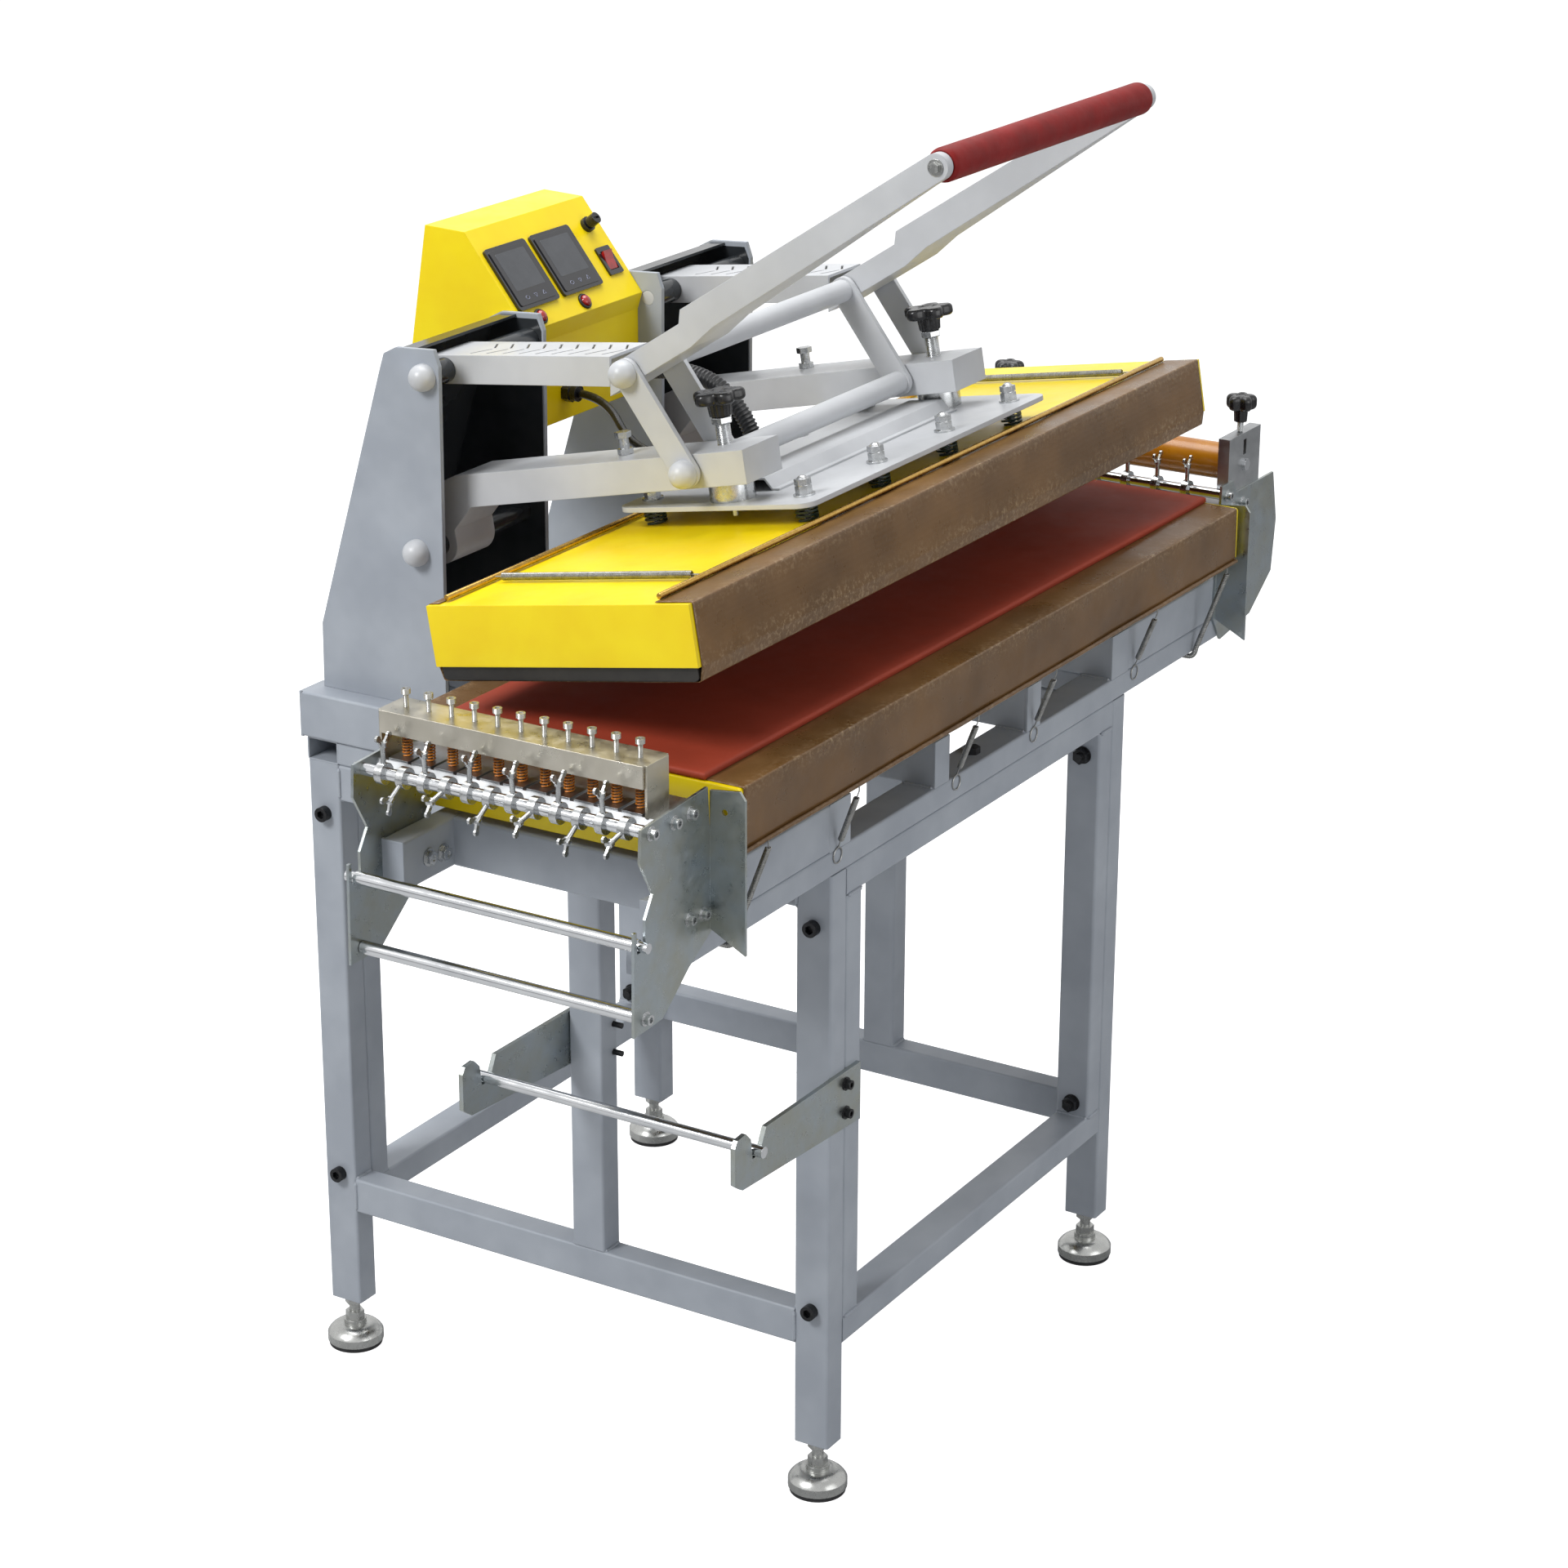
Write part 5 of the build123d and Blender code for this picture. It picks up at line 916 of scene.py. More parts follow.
@dataclass
class LowerBed:
    """Bed with its cover, cloth, pad and the springs that hold the cloth."""

    front: float = -0.3495
    back: float = 0.035
    top: float = 0.858
    hem: float = 0.797
    half_length: float = 0.530
    pad_front: float = -0.310
    pad_back: float = -0.008
    pad_low: float = 0.8594
    pad_high: float = 0.866
    pad_half: float = 0.533
    rail_face: float = -0.320
    ring_z: float = 0.713
    short_springs: tuple[float, ...] = (-0.330, -0.091, 0.079, 0.319)
    short_drift: float = 0.020
    long_springs: tuple[tuple[float, float], ...] = ((-0.497, -0.010), (0.497, -0.008))
    long_pitch: float = 1.6 * MM
    coil_radius: float = 2.6 * MM
    coil_wire: float = 0.62 * MM
    hook_wire: float = 0.7 * MM

    def build_pad(self) -> None:
        """Build the sponge pad: a slab whose rim is rounded and whose top sinks by a hair in places."""
        half_y = (self.pad_back - self.pad_front) / 2
        middle = (self.pad_back + self.pad_front) / 2
        rim = np.array([0.0, 0.0006, 0.0016, 0.003])
        flat_x = self.pad_half - 0.02
        flat_y = half_y - 0.015
        x = np.concatenate(
            [-self.pad_half + rim, np.linspace(-flat_x, flat_x, 90), self.pad_half - rim[::-1]])
        y = np.concatenate([-half_y + rim, np.linspace(-flat_y, flat_y, 28), half_y - rim[::-1]])
        grid_x, grid_y = np.meshgrid(x, y)
        inset = np.minimum(self.pad_half - np.abs(grid_x), half_y - np.abs(grid_y))
        fall = 0.0018 * np.clip(1 - inset / 0.003, 0, 1) ** 2
        height = self.pad_high - fall - 0.0003 * (0.5 + 0.5 * ripple(grid_x, grid_y, 3.3))
        top = np.stack([grid_x, grid_y + middle, height], axis=-1)
        under = np.stack([grid_x, grid_y + middle, np.full_like(height, self.pad_low)], axis=-1)
        shape = Shape().grid(top).grid(under[:, ::-1])
        rim_top = np.concatenate([top[0, :-1], top[:-1, -1], top[-1, :0:-1], top[:0:-1, 0]])
        rim_low = rim_top.copy()
        rim_low[:, 2] = self.pad_low
        shape.grid(np.stack([rim_top, rim_low]), closed=True)
        pad = shape.build("bed_sponge_pad", SILICONE_PAD, "base", "silicone_pad", ["bed_pad"], 50.0)
        work = bmesh.new()
        work.from_mesh(pad.data)
        bmesh.ops.remove_doubles(work, verts=work.verts, dist=1e-6)
        bmesh.ops.recalc_face_normals(work, faces=work.faces)
        work.to_mesh(pad.data)
        work.free()

    def add_short_spring(self, shape: Shape, x: float) -> None:
        """Add a straight spring from the hem to its ring on the front rail.

        Args:
            shape: Shape that takes it.
            x: Place of its top along X.
        """
        top = np.array([x, self.front - 0.0063, self.hem - 0.004])
        foot = np.array([x + self.short_drift, self.rail_face - 0.001, self.ring_z + 0.008])
        low, high = top + 0.12 * (foot - top), top + 0.86 * (foot - top)
        coil(shape, low, high, self.coil_radius, round_section(self.coil_wire, 6), turns=44, steps=12)
        hook = round_section(self.hook_wire, 8)
        shape.tube(np.array([top + [0, 0, 0.005], top, low]), hook, ALONG_X)
        shape.tube(np.array([high, (high + foot) / 2, foot]), hook, ALONG_X)
        self.add_ring(shape, (foot[0], foot[1], self.ring_z), 8 * MM, (0, 1, 0))

    def add_long_spring(self, shape: Shape, x: float, drift: float) -> None:
        """Add a spring that bends in under the front rail: a helix wound round its centre line.

        Args:
            shape: Shape that takes it.
            x: Place of its top along X.
            drift: How far its foot lies along X from its top.
        """
        top = np.array([x, self.front - 0.0068, self.hem - 0.006])
        bend = np.array([x + drift * 0.98, self.rail_face - 0.0055, 0.700])
        low = np.array([x + drift, self.rail_face - 0.0042, 0.6888])
        turn = np.array([x + drift, self.rail_face + 0.004, 0.6885])
        end = np.array([x + drift, self.rail_face + 0.020, 0.6888])
        t = np.linspace(0, 1, 60)[:, None]
        s = np.linspace(0, 1, 14)[:, None]
        curve = (1 - s) ** 2 * bend + 2 * s * (1 - s) * low + s ** 2 * turn
        run = turn + np.linspace(0, 1, 12)[1:, None] * (end - turn)
        line = np.concatenate([top + t * (bend - top), curve[1:], run])
        total = distances(line)[-1]
        place = np.linspace(0, total, int(total / self.long_pitch * 12))
        path = spread(line, place)
        ahead = unit(np.gradient(path, axis=0))
        side = np.broadcast_to(ALONG_X, path.shape)
        up = unit(np.cross(ahead, side))
        angle = (2 * np.pi * place / self.long_pitch)[:, None]
        wound = path + self.coil_radius * (np.cos(angle) * side + np.sin(angle) * up)
        shape.tube(wound, round_section(self.coil_wire, 6), ahead)
        hook = np.array([top + [0, 0, 0.007], top + [0, 0, 0.002], top - [0, 0, 0.002]])
        shape.tube(hook, round_section(self.hook_wire, 8), ALONG_X)
        self.add_ring(shape, (x + drift, self.rail_face + 0.0235, 0.688), 3 * MM, (1, 0, 0))

    def build_springs(self) -> None:
        """Build the springs with their hooks and rings, from the hem to the front rail."""
        shape = Shape()
        for x in self.short_springs:
            self.add_short_spring(shape, x)
        for x, drift in self.long_springs:
            self.add_long_spring(shape, x, drift)
        shape.build("cloth_tension_springs", SPRING_STEEL, "base", "turned_steel", ["bed_springs"], 60.0)

    def add_ring(self, shape: Shape, middle: Sequence[float], radius: float,
                 axis: Sequence[float]) -> None:
        """Add a closed wire ring round an axis.

        Args:
            shape: Shape that takes the ring.
            middle: Its middle.
            radius: Radius of the wire's centre line.
            axis: Direction that it stands across.
        """
        turn = np.linspace(0, 2 * np.pi, 13)
        wire = self.hook_wire
        profile = np.stack([radius + wire * np.cos(turn), wire * np.sin(turn)], axis=-1)
        shape.turned(profile, middle, axis, 28, capped=False)

    def build_hem(self) -> None:
        """Build the rolled hem: a cord of cloth along the front edge, a little uneven."""
        x = np.linspace(-self.half_length, self.half_length, 200)
        height = self.hem + 0.0004 * ripple(x, x, 1.7)
        path = np.stack([x, np.full_like(x, self.front - 0.0024), height], axis=-1)
        swell = 1 + 0.08 * ripple(x, 2 * x, 6.0)
        rows = carried(path, round_section(2.3 * MM, 12), UPRIGHT, swell)
        # The hem takes a steady 0.35 of the pale share: rubbing and painted highlight along its round
        hem = Shape().grid(rows, closed=True, capped=True, marks=np.full(rows.shape[:2], 0.35))
        hem.build("bed_cloth_hem", COATED_CLOTH, "base", "coated_cloth")

    def build(self) -> None:
        """Build the bed."""
        dress(["bed_cover"], YELLOW_PAINT)
        dress(["bed_board"], HEAT_BOARD)
        gap = 0.5 * MM
        back, front, top = self.back + gap, self.front - gap, self.top + gap
        corners = [(back, self.hem), (back, top), (front, top), (front, self.hem)]
        Cloth("bed_coated_cloth", "base", "bed_cloth", self.half_length, corners, 0.9 * MM, False, 1.3,
              ["bed_cover"]).build()
        self.build_hem()
        self.build_pad()
        self.build_springs()


@dataclass
class UpperPlaten:
    """Heated platen under the floating plate, with its cloth and springs, in the closed place."""

    front: float = -0.302
    back: float = -0.004
    low: float = 0.868
    bottom: float = 0.882
    top: float = 0.9415
    hem_front: float = -0.262
    hem_back: float = -0.016
    half_length: float = 0.528
    stud_rows: tuple[float, ...] = (-0.234, -0.055)
    stud_columns: tuple[float, ...] = (-0.212, -0.070, 0.070, 0.212)
    plate_low: float = 0.961
    chamfer: float = 3.4 * MM
    spring_x: float = 0.445

    def build_float_springs(self) -> None:
        """Build the flat wire springs between the platen and the floating plate."""
        shape = Shape()
        flat = np.array([[-1.9, -1.0], [-1.9, 1.0], [1.9, 1.0], [1.9, -1.0]]) * MM
        for y in self.stud_rows:
            for x in self.stud_columns:
                low = opened(np.array([x, y, self.top + 1.2 * MM]))
                high = opened(np.array([x, y, self.plate_low - 1.2 * MM]))
                coil(shape, low, high, 9.6 * MM, flat, turns=4.5, steps=22)
        shape.build("die_springs", GREEN_WIRE, "head", "spring_green", ["float_springs"], 35.0)

    def build_cross_springs(self) -> None:
        """Build the long close-wound springs across the top, with the hem rods that they pull."""
        rod_z = self.top + 4.4 * MM
        shape = Shape()
        for x in (-self.spring_x, self.spring_x):
            low = np.array([x, self.hem_front + 0.012, rod_z + 1 * MM])
            high = np.array([x, self.hem_back - 0.0155, rod_z + 1 * MM])
            coil(shape, opened(low), opened(high), 3.3 * MM, round_section(0.6 * MM, 5), turns=150, steps=10)
            for start, way in ((low, -1), (high, 1)):
                steps = (-way * 0.002, way * 0.004, way * 0.0078)
                hook = np.array([start + [0, step, 0] for step in steps])
                shape.tube(opened(hook), round_section(0.9 * MM, 8), ALONG_X)
        shape.build("cross_springs", SPRING_STEEL, "head", "turned_steel", ["head_cloth_springs"], 60.0)
        rods = Shape()
        rod_half = self.half_length - 8 * MM
        for y in (self.hem_front, self.hem_back - 3.5 * MM):
            centre = opened(np.array([-rod_half, y, rod_z]))
            rods.turned(rounded_profile(3 * MM, 0, 2 * rod_half, 0.6 * MM), centre, (1, 0, 0), 20)
        rods.build("hem_rods", BRASS, "head", "turned_steel", [], 40.0)

    def build(self) -> None:
        """Build the platen."""
        dress(["head_cover"], YELLOW_PAINT)
        dress(["head_plate"], HEATER_BLACK)
        dress(["float_plate", "press_arms"], LINKAGE_PAINT)
        dress(["float_studs", "head_hardware"], BRIGHT_ZINC)
        gap = 0.6 * MM
        back, front = self.back + gap, self.front - gap
        high, low = self.top + gap, self.low - gap
        corners = [(self.hem_back, high), (back, high), (back, self.bottom), (self.back - self.chamfer, low),
                   (self.front + self.chamfer, low), (front, self.bottom), (front, high),
                   (self.hem_front, high)]
        Cloth("head_coated_cloth", "head", "head_cloth", self.half_length, corners, 0.7 * MM, True, 4.4,
              ["head_cover"]).build()
        self.build_float_springs()
        self.build_cross_springs()


def star_knob(shape: Shape, seat: np.ndarray, axis: np.ndarray, radius: float, height: float,
              hub: float) -> None:
    """Add a star knob: a lobed head with rounded rims over a tapered hub.

    Radius = the profile's radius times (1 - depth (0.5 - 0.5 cos 5 angle) ^ 1.6), so it has five
    fingers, and the hub's = its profile's times (1 + 0.05 cos 10 angle).

    Args:
        shape: Shape that takes the knob.
        seat: Foot of the hub.
        axis: Way that the knob points.
        radius: Radius to the tips of the fingers.
        height: Height of the lobed head.
        hub: Height of the hub under it.
    """
    sides, depth = 100, 0.30
    angle = np.linspace(0, 2 * np.pi, sides, endpoint=False)
    lobes = 1 - depth * (0.5 - 0.5 * np.cos(5 * angle)) ** 1.6
    head = rounded_profile(radius, hub, hub + height, 0.34 * height, 7)
    top = hub + height
    floor = top - 0.8 * MM
    dish = [[0.45 * radius, top], [0.38 * radius, floor], [0.0, floor]]
    shape.grid(lathe(np.concatenate([head[:-1], dish]), seat, axis, sides, lobes), closed=True)
    neck_top = hub + 0.3 * height
    neck = np.array([[0.0, 0.0], [0.36 * radius, 0.0], [0.40 * radius, 0.4 * MM],
                     [0.46 * radius, neck_top], [0.0, neck_top]])
    neck_sides = 60
    ribs = 1 + 0.05 * np.cos(10 * np.linspace(0, 2 * np.pi, neck_sides, endpoint=False))
    shape.grid(lathe(neck, seat, axis, neck_sides, ribs), closed=True)


def threaded(seat: np.ndarray, axis: np.ndarray, radius: float, length: float, pitch: float) -> np.ndarray:
    """Screw surface: radius = r (1 - depth times a triangle wave of (height / pitch - angle / turn)).

    Args:
        seat: Foot of the screw.
        axis: Way that it points.
        radius: Outside radius.
        length: Its length.
        pitch: Rise in a turn.

    Returns:
        Grid of points, which starts and ends a little narrower.
    """
    sides, depth = 24, 0.12
    rows = int(length / pitch * 6)
    height = np.linspace(0, length, rows)
    angle = np.linspace(0, 2 * np.pi, sides, endpoint=False)
    phase = height[:, None] / pitch - angle[None] / (2 * np.pi)
    wave = np.abs(2 * (phase - np.floor(phase + 0.5)))
    grid = lathe(np.stack([np.full(rows, radius), height], axis=-1), seat, axis, sides)
    centre = np.array(seat, float) + height[:, None, None] * unit(np.array(axis, float))
    taper = np.clip(np.minimum(height, length - height) / pitch, 0.75, 1.0)[:, None, None]
    return centre + (grid - centre) * (1 - depth * wave[..., None]) * taper


@dataclass
class Linkage:
    """Lever, links, press arms and pressure screws."""

    screw_places: tuple[float, float] = (-0.218, 0.202)
    screw_y: float = -0.155
    screw_low: float = 0.9663
    knob_seat: float = 1.04904
    knob_radius: float = 0.027
    grip_y: float = -0.390
    grip_z: float = 1.384
    stations: tuple[float, float] = (-0.228, 0.192)
    plate_inner: float = 0.110
    plate_outer: float = 0.298
    upper_pivot: tuple[float, float] = (0.169, 1.121)
    lower_pivot: tuple[float, float] = (0.1835, 0.936)
    grip_low: float = -0.251
    grip_high: float = 0.157
    grip_radius: float = 16.4 * MM
    grip_bore: float = 12.6 * MM
    plate_faces: tuple[tuple[float, int], ...] = ((-0.293, 1), (-0.115, -1), (0.115, 1), (0.293, -1))

    def build_pressure_screws(self) -> None:
        """Build each pressure screw as its thread and its star knob."""
        axis = opened(np.array([0, 0, 1.0])) - opened(np.array([0, 0, 0.0]))
        for name, x in zip(("near", "far"), self.screw_places):
            body = name + "_pressure_screw"
            foot = opened(np.array([x, self.screw_y, self.screw_low]))
            length = self.knob_seat - self.screw_low + 2 * MM
            thread = threaded(foot, axis, 7.95 * MM, length, 1.75 * MM)
            screw = Shape().grid(thread, closed=True, capped=True)
            screw.build(name + "_pressure_thread", BRIGHT_ZINC, body, "turned_steel", [], 50.0)
            nut = np.array([[0.0, 0.0], [10.4, 0.0], [11.4, 0.9], [11.4, 6.1], [10.4, 7.0],
                            [0.0, 7.0]]) * MM
            nut_seat = opened(np.array([x, self.screw_y, self.knob_seat - 7.3 * MM]))
            lock = Shape().turned(nut, nut_seat, axis, 6, capped=False)
            lock.build(name + "_lock_nut", BRIGHT_ZINC, body, "turned_steel", [], 30.0)
            seat = opened(np.array([x, self.screw_y, self.knob_seat]))
            knob = Shape()
            star_knob(knob, seat, axis, self.knob_radius, 0.0118, 0.0135)
            knob.build(name + "_star_knob", BLACK_MOULDED, body, "black_plastic",
                       [name + "_pressure_knob"], 35.0)

    def build_grip(self) -> None:
        """Build the foam sleeve: a tube with soft ends and slightly uneven girth."""
        count = 160
        x = np.linspace(self.grip_low, self.grip_high, count)
        fall = np.minimum(x - self.grip_low, self.grip_high - x)
        rounding = 2.6 * MM * np.clip(1 - fall / 0.004, 0, 1) ** 2
        radius = self.grip_radius - rounding + 0.12 * MM * ripple(x, x, 2.0)
        start = (self.grip_low, self.grip_y, self.grip_z)
        outside = lathe(np.stack([radius, x - self.grip_low], axis=-1), start, (1, 0, 0), 48)
        bore = np.array([[self.grip_bore, x[-1] - x[0]], [self.grip_bore, 0.0]])
        inside = lathe(bore, start, (1, 0, 0), 48)
        sleeve = Shape().grid(np.concatenate([outside, inside, outside[:1]]), closed=True)
        sleeve.build("foam_grip", RED_FOAM, "lever", "foam_red", ["grip_sleeve"], 50.0)

    def build_pins(self) -> None:
        """Build the pivot pins with their caps, and the sleeves on them between the plates, dark as painted
        shade.
        """
        turn = np.linspace(0, np.pi / 2, 9)
        dome = np.stack([14 * np.cos(turn), 4 + 14 * np.sin(turn)], axis=-1)
        cap = np.concatenate([[[14.0, 0.0]], dome]) * MM
        cap[-1, 0] = 0.2 * MM
        pale, dark = Shape(), Shape()
        along = (1, 0, 0)
        for side, station in zip((-1, 1), self.stations):
            low, high = sorted((side * self.plate_inner, side * self.plate_outer))
            for centre, half, domed in (
                (self.upper_pivot, 0.034, (side,)),
                (self.lower_pivot, 0.033, (-1, 1)),
            ):
                pin = rounded_profile(8 * MM, 0, high - low, 0.5 * MM)
                pale.turned(pin, (low, *centre), along, 24)
                # The sleeves between the plates are dark gloss as painted shade of the gap
                for start, end in ((low + 5 * MM, station - half), (station + half, high - 5 * MM)):
                    sleeve = rounded_profile(13 * MM, 0.5 * MM, end - start - 0.5 * MM, 0.6 * MM)
                    dark.turned(sleeve, (start, *centre), along, 32)
                for way in domed:
                    face = high if way > 0 else low
                    pale.turned(cap, (face, *centre), (way, 0, 0), 36)
        pale.build("pivot_pins_and_caps", LINKAGE_PAINT, "base", "linkage_paint", ["pivot_pins"], 50.0)
        dark.build("pivot_sleeves_painted_shade", DARK_GLOSS, "base", "black_gloss_paint", [], 50.0)

    def build_shade_liners(self) -> None:
        """Cover the plates' inner faces with thin sheets of the dark gloss enamel: painted shade between the
        plates.
        """
        outline = np.array([(0.1535, 0.7705), (0.3075, 0.7705), (0.3065, 0.8385), (0.2205, 1.1190),
                            (0.2145, 1.1350), (0.2020, 1.1418), (0.1590, 1.1445), (0.1535, 1.1320)])
        shade_liners = Shape()
        # Thin dark sheets on the plates' facing sides: painted shade where the plates shade each other
        for face, way in self.plate_faces:
            near = np.column_stack([np.full(len(outline), face + way * 0.15 * MM), outline])
            far = near + [way * 0.35 * MM, 0.0, 0.0]
            shade_liners.grid(np.stack([near, far]), closed=True, capped=True)
        shade_liners.build("plate_shade_liners", DARK_GLOSS, "base", "black_gloss_paint", [], 30.0)

    def build(self) -> None:
        """Dress the steel and build the screws, the pins, the painted shade liners and the grip."""
        dress(["upright_plates"], STAND_PAINT)
        dress(["upright_backs"], DARK_GLOSS)
        dress(["lever_channels", "lever_arms", "down_links", "link_shafts", "link_tubes"], LINKAGE_PAINT)
        dress(["grip_tube"], TURNED_STEEL)
        self.build_pressure_screws()
        self.build_pins()
        self.build_shade_liners()
        self.build_grip()


@dataclass
class ControlBox:
    """Box between the uprights, with its instruments and the two leads to the platen."""

    foot: tuple[float, float] = (0.176, 1.1268)
    head: tuple[float, float] = (0.253, 1.224)
    controller_x: tuple[float, ...] = (-0.066, 0.016)
    controller_share: float = 0.485
    lamp_x: tuple[float, float] = (-0.074, 0.008)
    lamp_share: float = 0.09
    lead: tuple[tuple[float, ...], ...] = (
        (-0.031, 0.1647, 1.046), (-0.031, 0.130, 1.046), (-0.095, 0.058, 1.018))
    hose: tuple[tuple[float, ...], ...] = (
        (-0.085, 0.1737, 1.088), (-0.085, 0.102, 1.088), (-0.085, -0.025, 1.112))
    lead_end: tuple[tuple[float, ...], ...] = ((-0.120, -0.028, 0.9855), (-0.120, -0.028, 0.9419))
    hose_end: tuple[tuple[float, ...], ...] = ((-0.085, -0.105, 1.010), (-0.085, -0.105, 0.9663))

    def on_panel(self, x: float, share: float, u: np.ndarray, v: np.ndarray, lift: float) -> np.ndarray:
        """Points on the sloped panel: its middle plus u along X, v up the slope and a lift off it.

        Args:
            x: Place along X.
            share: Share of the way up the panel.
            u: Distances along X.
            v: Distances up the slope.
            lift: Height above the sheet.

        Returns:
            Points of the panel.
        """
        slope = math.atan2(self.head[1] - self.foot[1], self.head[0] - self.foot[0])
        y = self.foot[0] + share * (self.head[0] - self.foot[0])
        z = self.foot[1] + share * (self.head[1] - self.foot[1])
        return np.stack([x + u, y + v * math.cos(slope) - lift * math.sin(slope),
                         z + v * math.sin(slope) + lift * math.cos(slope)], axis=-1)

    def normal(self, x: float, share: float) -> np.ndarray:
        """Direction straight out of the panel at a place on it.

        Args:
            x: Place along X.
            share: Share of the way up the panel.

        Returns:
            Vector with a length of 1.
        """
        zero = np.zeros(1)
        lifted = self.on_panel(x, share, zero, zero, 1.0)
        return (lifted - self.on_panel(x, share, zero, zero, 0.0))[0]

    def plaque(self, shape: Shape, x: float, centre: float, width: float, height: float,
               corner: float, low: float, high: float) -> None:
        """Add a rounded rectangle that lies on the panel.

        Args:
            shape: Shape that takes it.
            x: Middle along X.
            centre: Middle up the slope, from the controllers' middle.
            width: Size along X.
            height: Size up the slope.
            corner: Corner radius.
            low: Height of its underside.
            high: Height of its top.
        """
        angle = np.linspace(0, 2 * np.pi, 40, endpoint=False)
        u = np.sign(np.cos(angle)) * (width / 2 - corner) + corner * np.cos(angle)
        v = np.sign(np.sin(angle)) * (height / 2 - corner) + corner * np.sin(angle)
        rows = [self.on_panel(x, self.controller_share, u * k, centre + v * k, lift)
                for k, lift in ((1.0, low), (1.0, high - 0.1 * MM), (0.995, high))]
        shape.grid(np.stack(rows), closed=True, capped=True)

    @staticmethod
    def key_outline(way: int) -> tuple[np.ndarray, np.ndarray]:
        """Outline of a key mark: an oval for 0, or a triangle that points up for 1 and down for -1.

        Args:
            way: Which mark.

        Returns:
            Distances along X and up the slope, from the middle of the mark.
        """
        if way == 0:
            turn = np.linspace(0, 2 * np.pi, 25)
            return 3.0 * MM * np.cos(turn), 2.0 * MM * np.sin(turn)
        tip, foot = 2.6 * way, -1.8 * way
        corner = np.array([[0.0, tip], [-2.6, foot], [2.6, foot], [0.0, tip]]) * MM
        share = np.linspace(0, 3, 31)
        return np.interp(share, range(4), corner[:, 0]), np.interp(share, range(4), corner[:, 1])

    def build_fronts(self) -> None:
        """Build the display windows and the printed key marks on both controllers."""
        windows, marks = Shape(), Shape()
        key_row = -26 * MM
        for x in self.controller_x:
            self.plaque(windows, x, 6.0 * MM, 52 * MM, 45 * MM, 2 * MM, 4.2 * MM, 4.85 * MM)
            normal = self.normal(x, self.controller_share)
            for column, way in ((-15, 0), (0, -1), (15, 1)):
                u, v = self.key_outline(way)
                line = self.on_panel(x, self.controller_share, column * MM + u, key_row + v, 4.75 * MM)
                marks.tube(line, round_section(0.28 * MM, 5), normal)
        windows.build("display_windows", DISPLAY_GREY, "base", "gloss_black", [], 30.0)
        marks.build("key_marks", KEY_PRINT, "base", "gloss_black", [], 60.0)

    def build_lamps(self) -> None:
        """Build the two lamps: a dark bezel ring with a domed lens in it."""
        turn = np.linspace(0, np.pi / 2, 8)
        dome = np.stack([6.4 * MM * np.cos(turn), 2.6 * MM + 4.2 * MM * np.sin(turn)], axis=-1)
        glass = np.concatenate([[[6.4 * MM, 0.2 * MM]], dome])
        ring = np.array([[6.5, 0.1], [8.9, 0.1], [8.9, 1.6], [8.2, 2.5], [7.0, 2.6], [6.5, 2.1],
                         [6.5, 0.1]]) * MM
        zero = np.zeros(1)
        lens, bezel = Shape(), Shape()
        for x in self.lamp_x:
            centre = self.on_panel(x, self.lamp_share, zero, zero, 0.0)[0]
            normal = self.normal(x, self.lamp_share)
            lens.turned(glass, centre, normal, 36)
            bezel.turned(ring, centre, normal, 36, capped=False)
        lens.build("lamp_lenses", RED_LENS, "base", "lamp_lens", ["indicator_lamps"], 40.0)
        bezel.build("lamp_bezels", BLACK_MOULDED, "base", "black_plastic", [], 35.0)

    @staticmethod
    def spline(name: str, points: Sequence[Sequence[float]]) -> np.ndarray:
        """Make a route's smooth line, read its points and take it away again.

        Args:
            name: Name of the curve.
            points: Control points in metres.

        Returns:
            Points along the line.
        """
        data = bpy.data.curves.new(name, "CURVE")
        data.dimensions = "3D"
        data.resolution_u = 24
        line = data.splines.new("NURBS")
        line.points.add(len(points) - 1)
        line.points.foreach_set("co", np.array([[*p, 1.0] for p in points], float).ravel())
        line.order_u = 3
        line.use_endpoint_u = True
        route = bpy.data.objects.new(name, data)
        bpy.context.scene.collection.objects.link(route)
        bpy.context.view_layer.update()
        sampled = bpy.data.meshes.new_from_object(route)
        path = np.empty(len(sampled.vertices) * 3)
        sampled.vertices.foreach_get("co", path)
        bpy.data.meshes.remove(sampled)
        bpy.data.objects.remove(route)
        return path.reshape(-1, 3)

    def build_leads(self) -> None:
        """Build the sleeved lead and the ribbed hose along their smooth routes.

        The hose's radius swells every 4.2 mm by a flattened cosine, which makes its ribs.
        """
        lead_points = [*self.lead, *opened(np.array(self.lead_end)).tolist()]
        hose_points = [*self.hose, *opened(np.array(self.hose_end)).tolist()]
        rib_pitch = 4.2 * MM
        window = 9
        for name, points, radius, finish, node, slot in (
            ("sleeved_lead", lead_points, 4.5 * MM, LEAD_SLEEVE, "platen_lead", "lead_jacket"),
            ("ribbed_hose", hose_points, 8.6 * MM, HOSE_PLASTIC, "heater_hose", "hose_plastic"),
        ):
            ribbed = name == "ribbed_hose"
            path = self.spline(name + "_route", points)
            total = float(distances(path)[-1])
            place = np.linspace(0, total, int(total / (0.6 * MM if ribbed else 2 * MM)))
            centre = spread(path, place)
            padded = np.pad(centre, ((window // 2, window // 2), (0, 0)), mode="edge")
            mean = np.ones(window) / window
            smooth = np.stack([np.convolve(padded[:, k], mean, "valid") for k in range(3)], axis=-1)
            smooth[0], smooth[-1] = centre[0], centre[-1]
            if ribbed:
                wave = 1 + 0.085 * np.clip(1.6 * np.cos(2 * np.pi * place / rib_pitch), -1, 1)
                across = ALONG_X
            else:
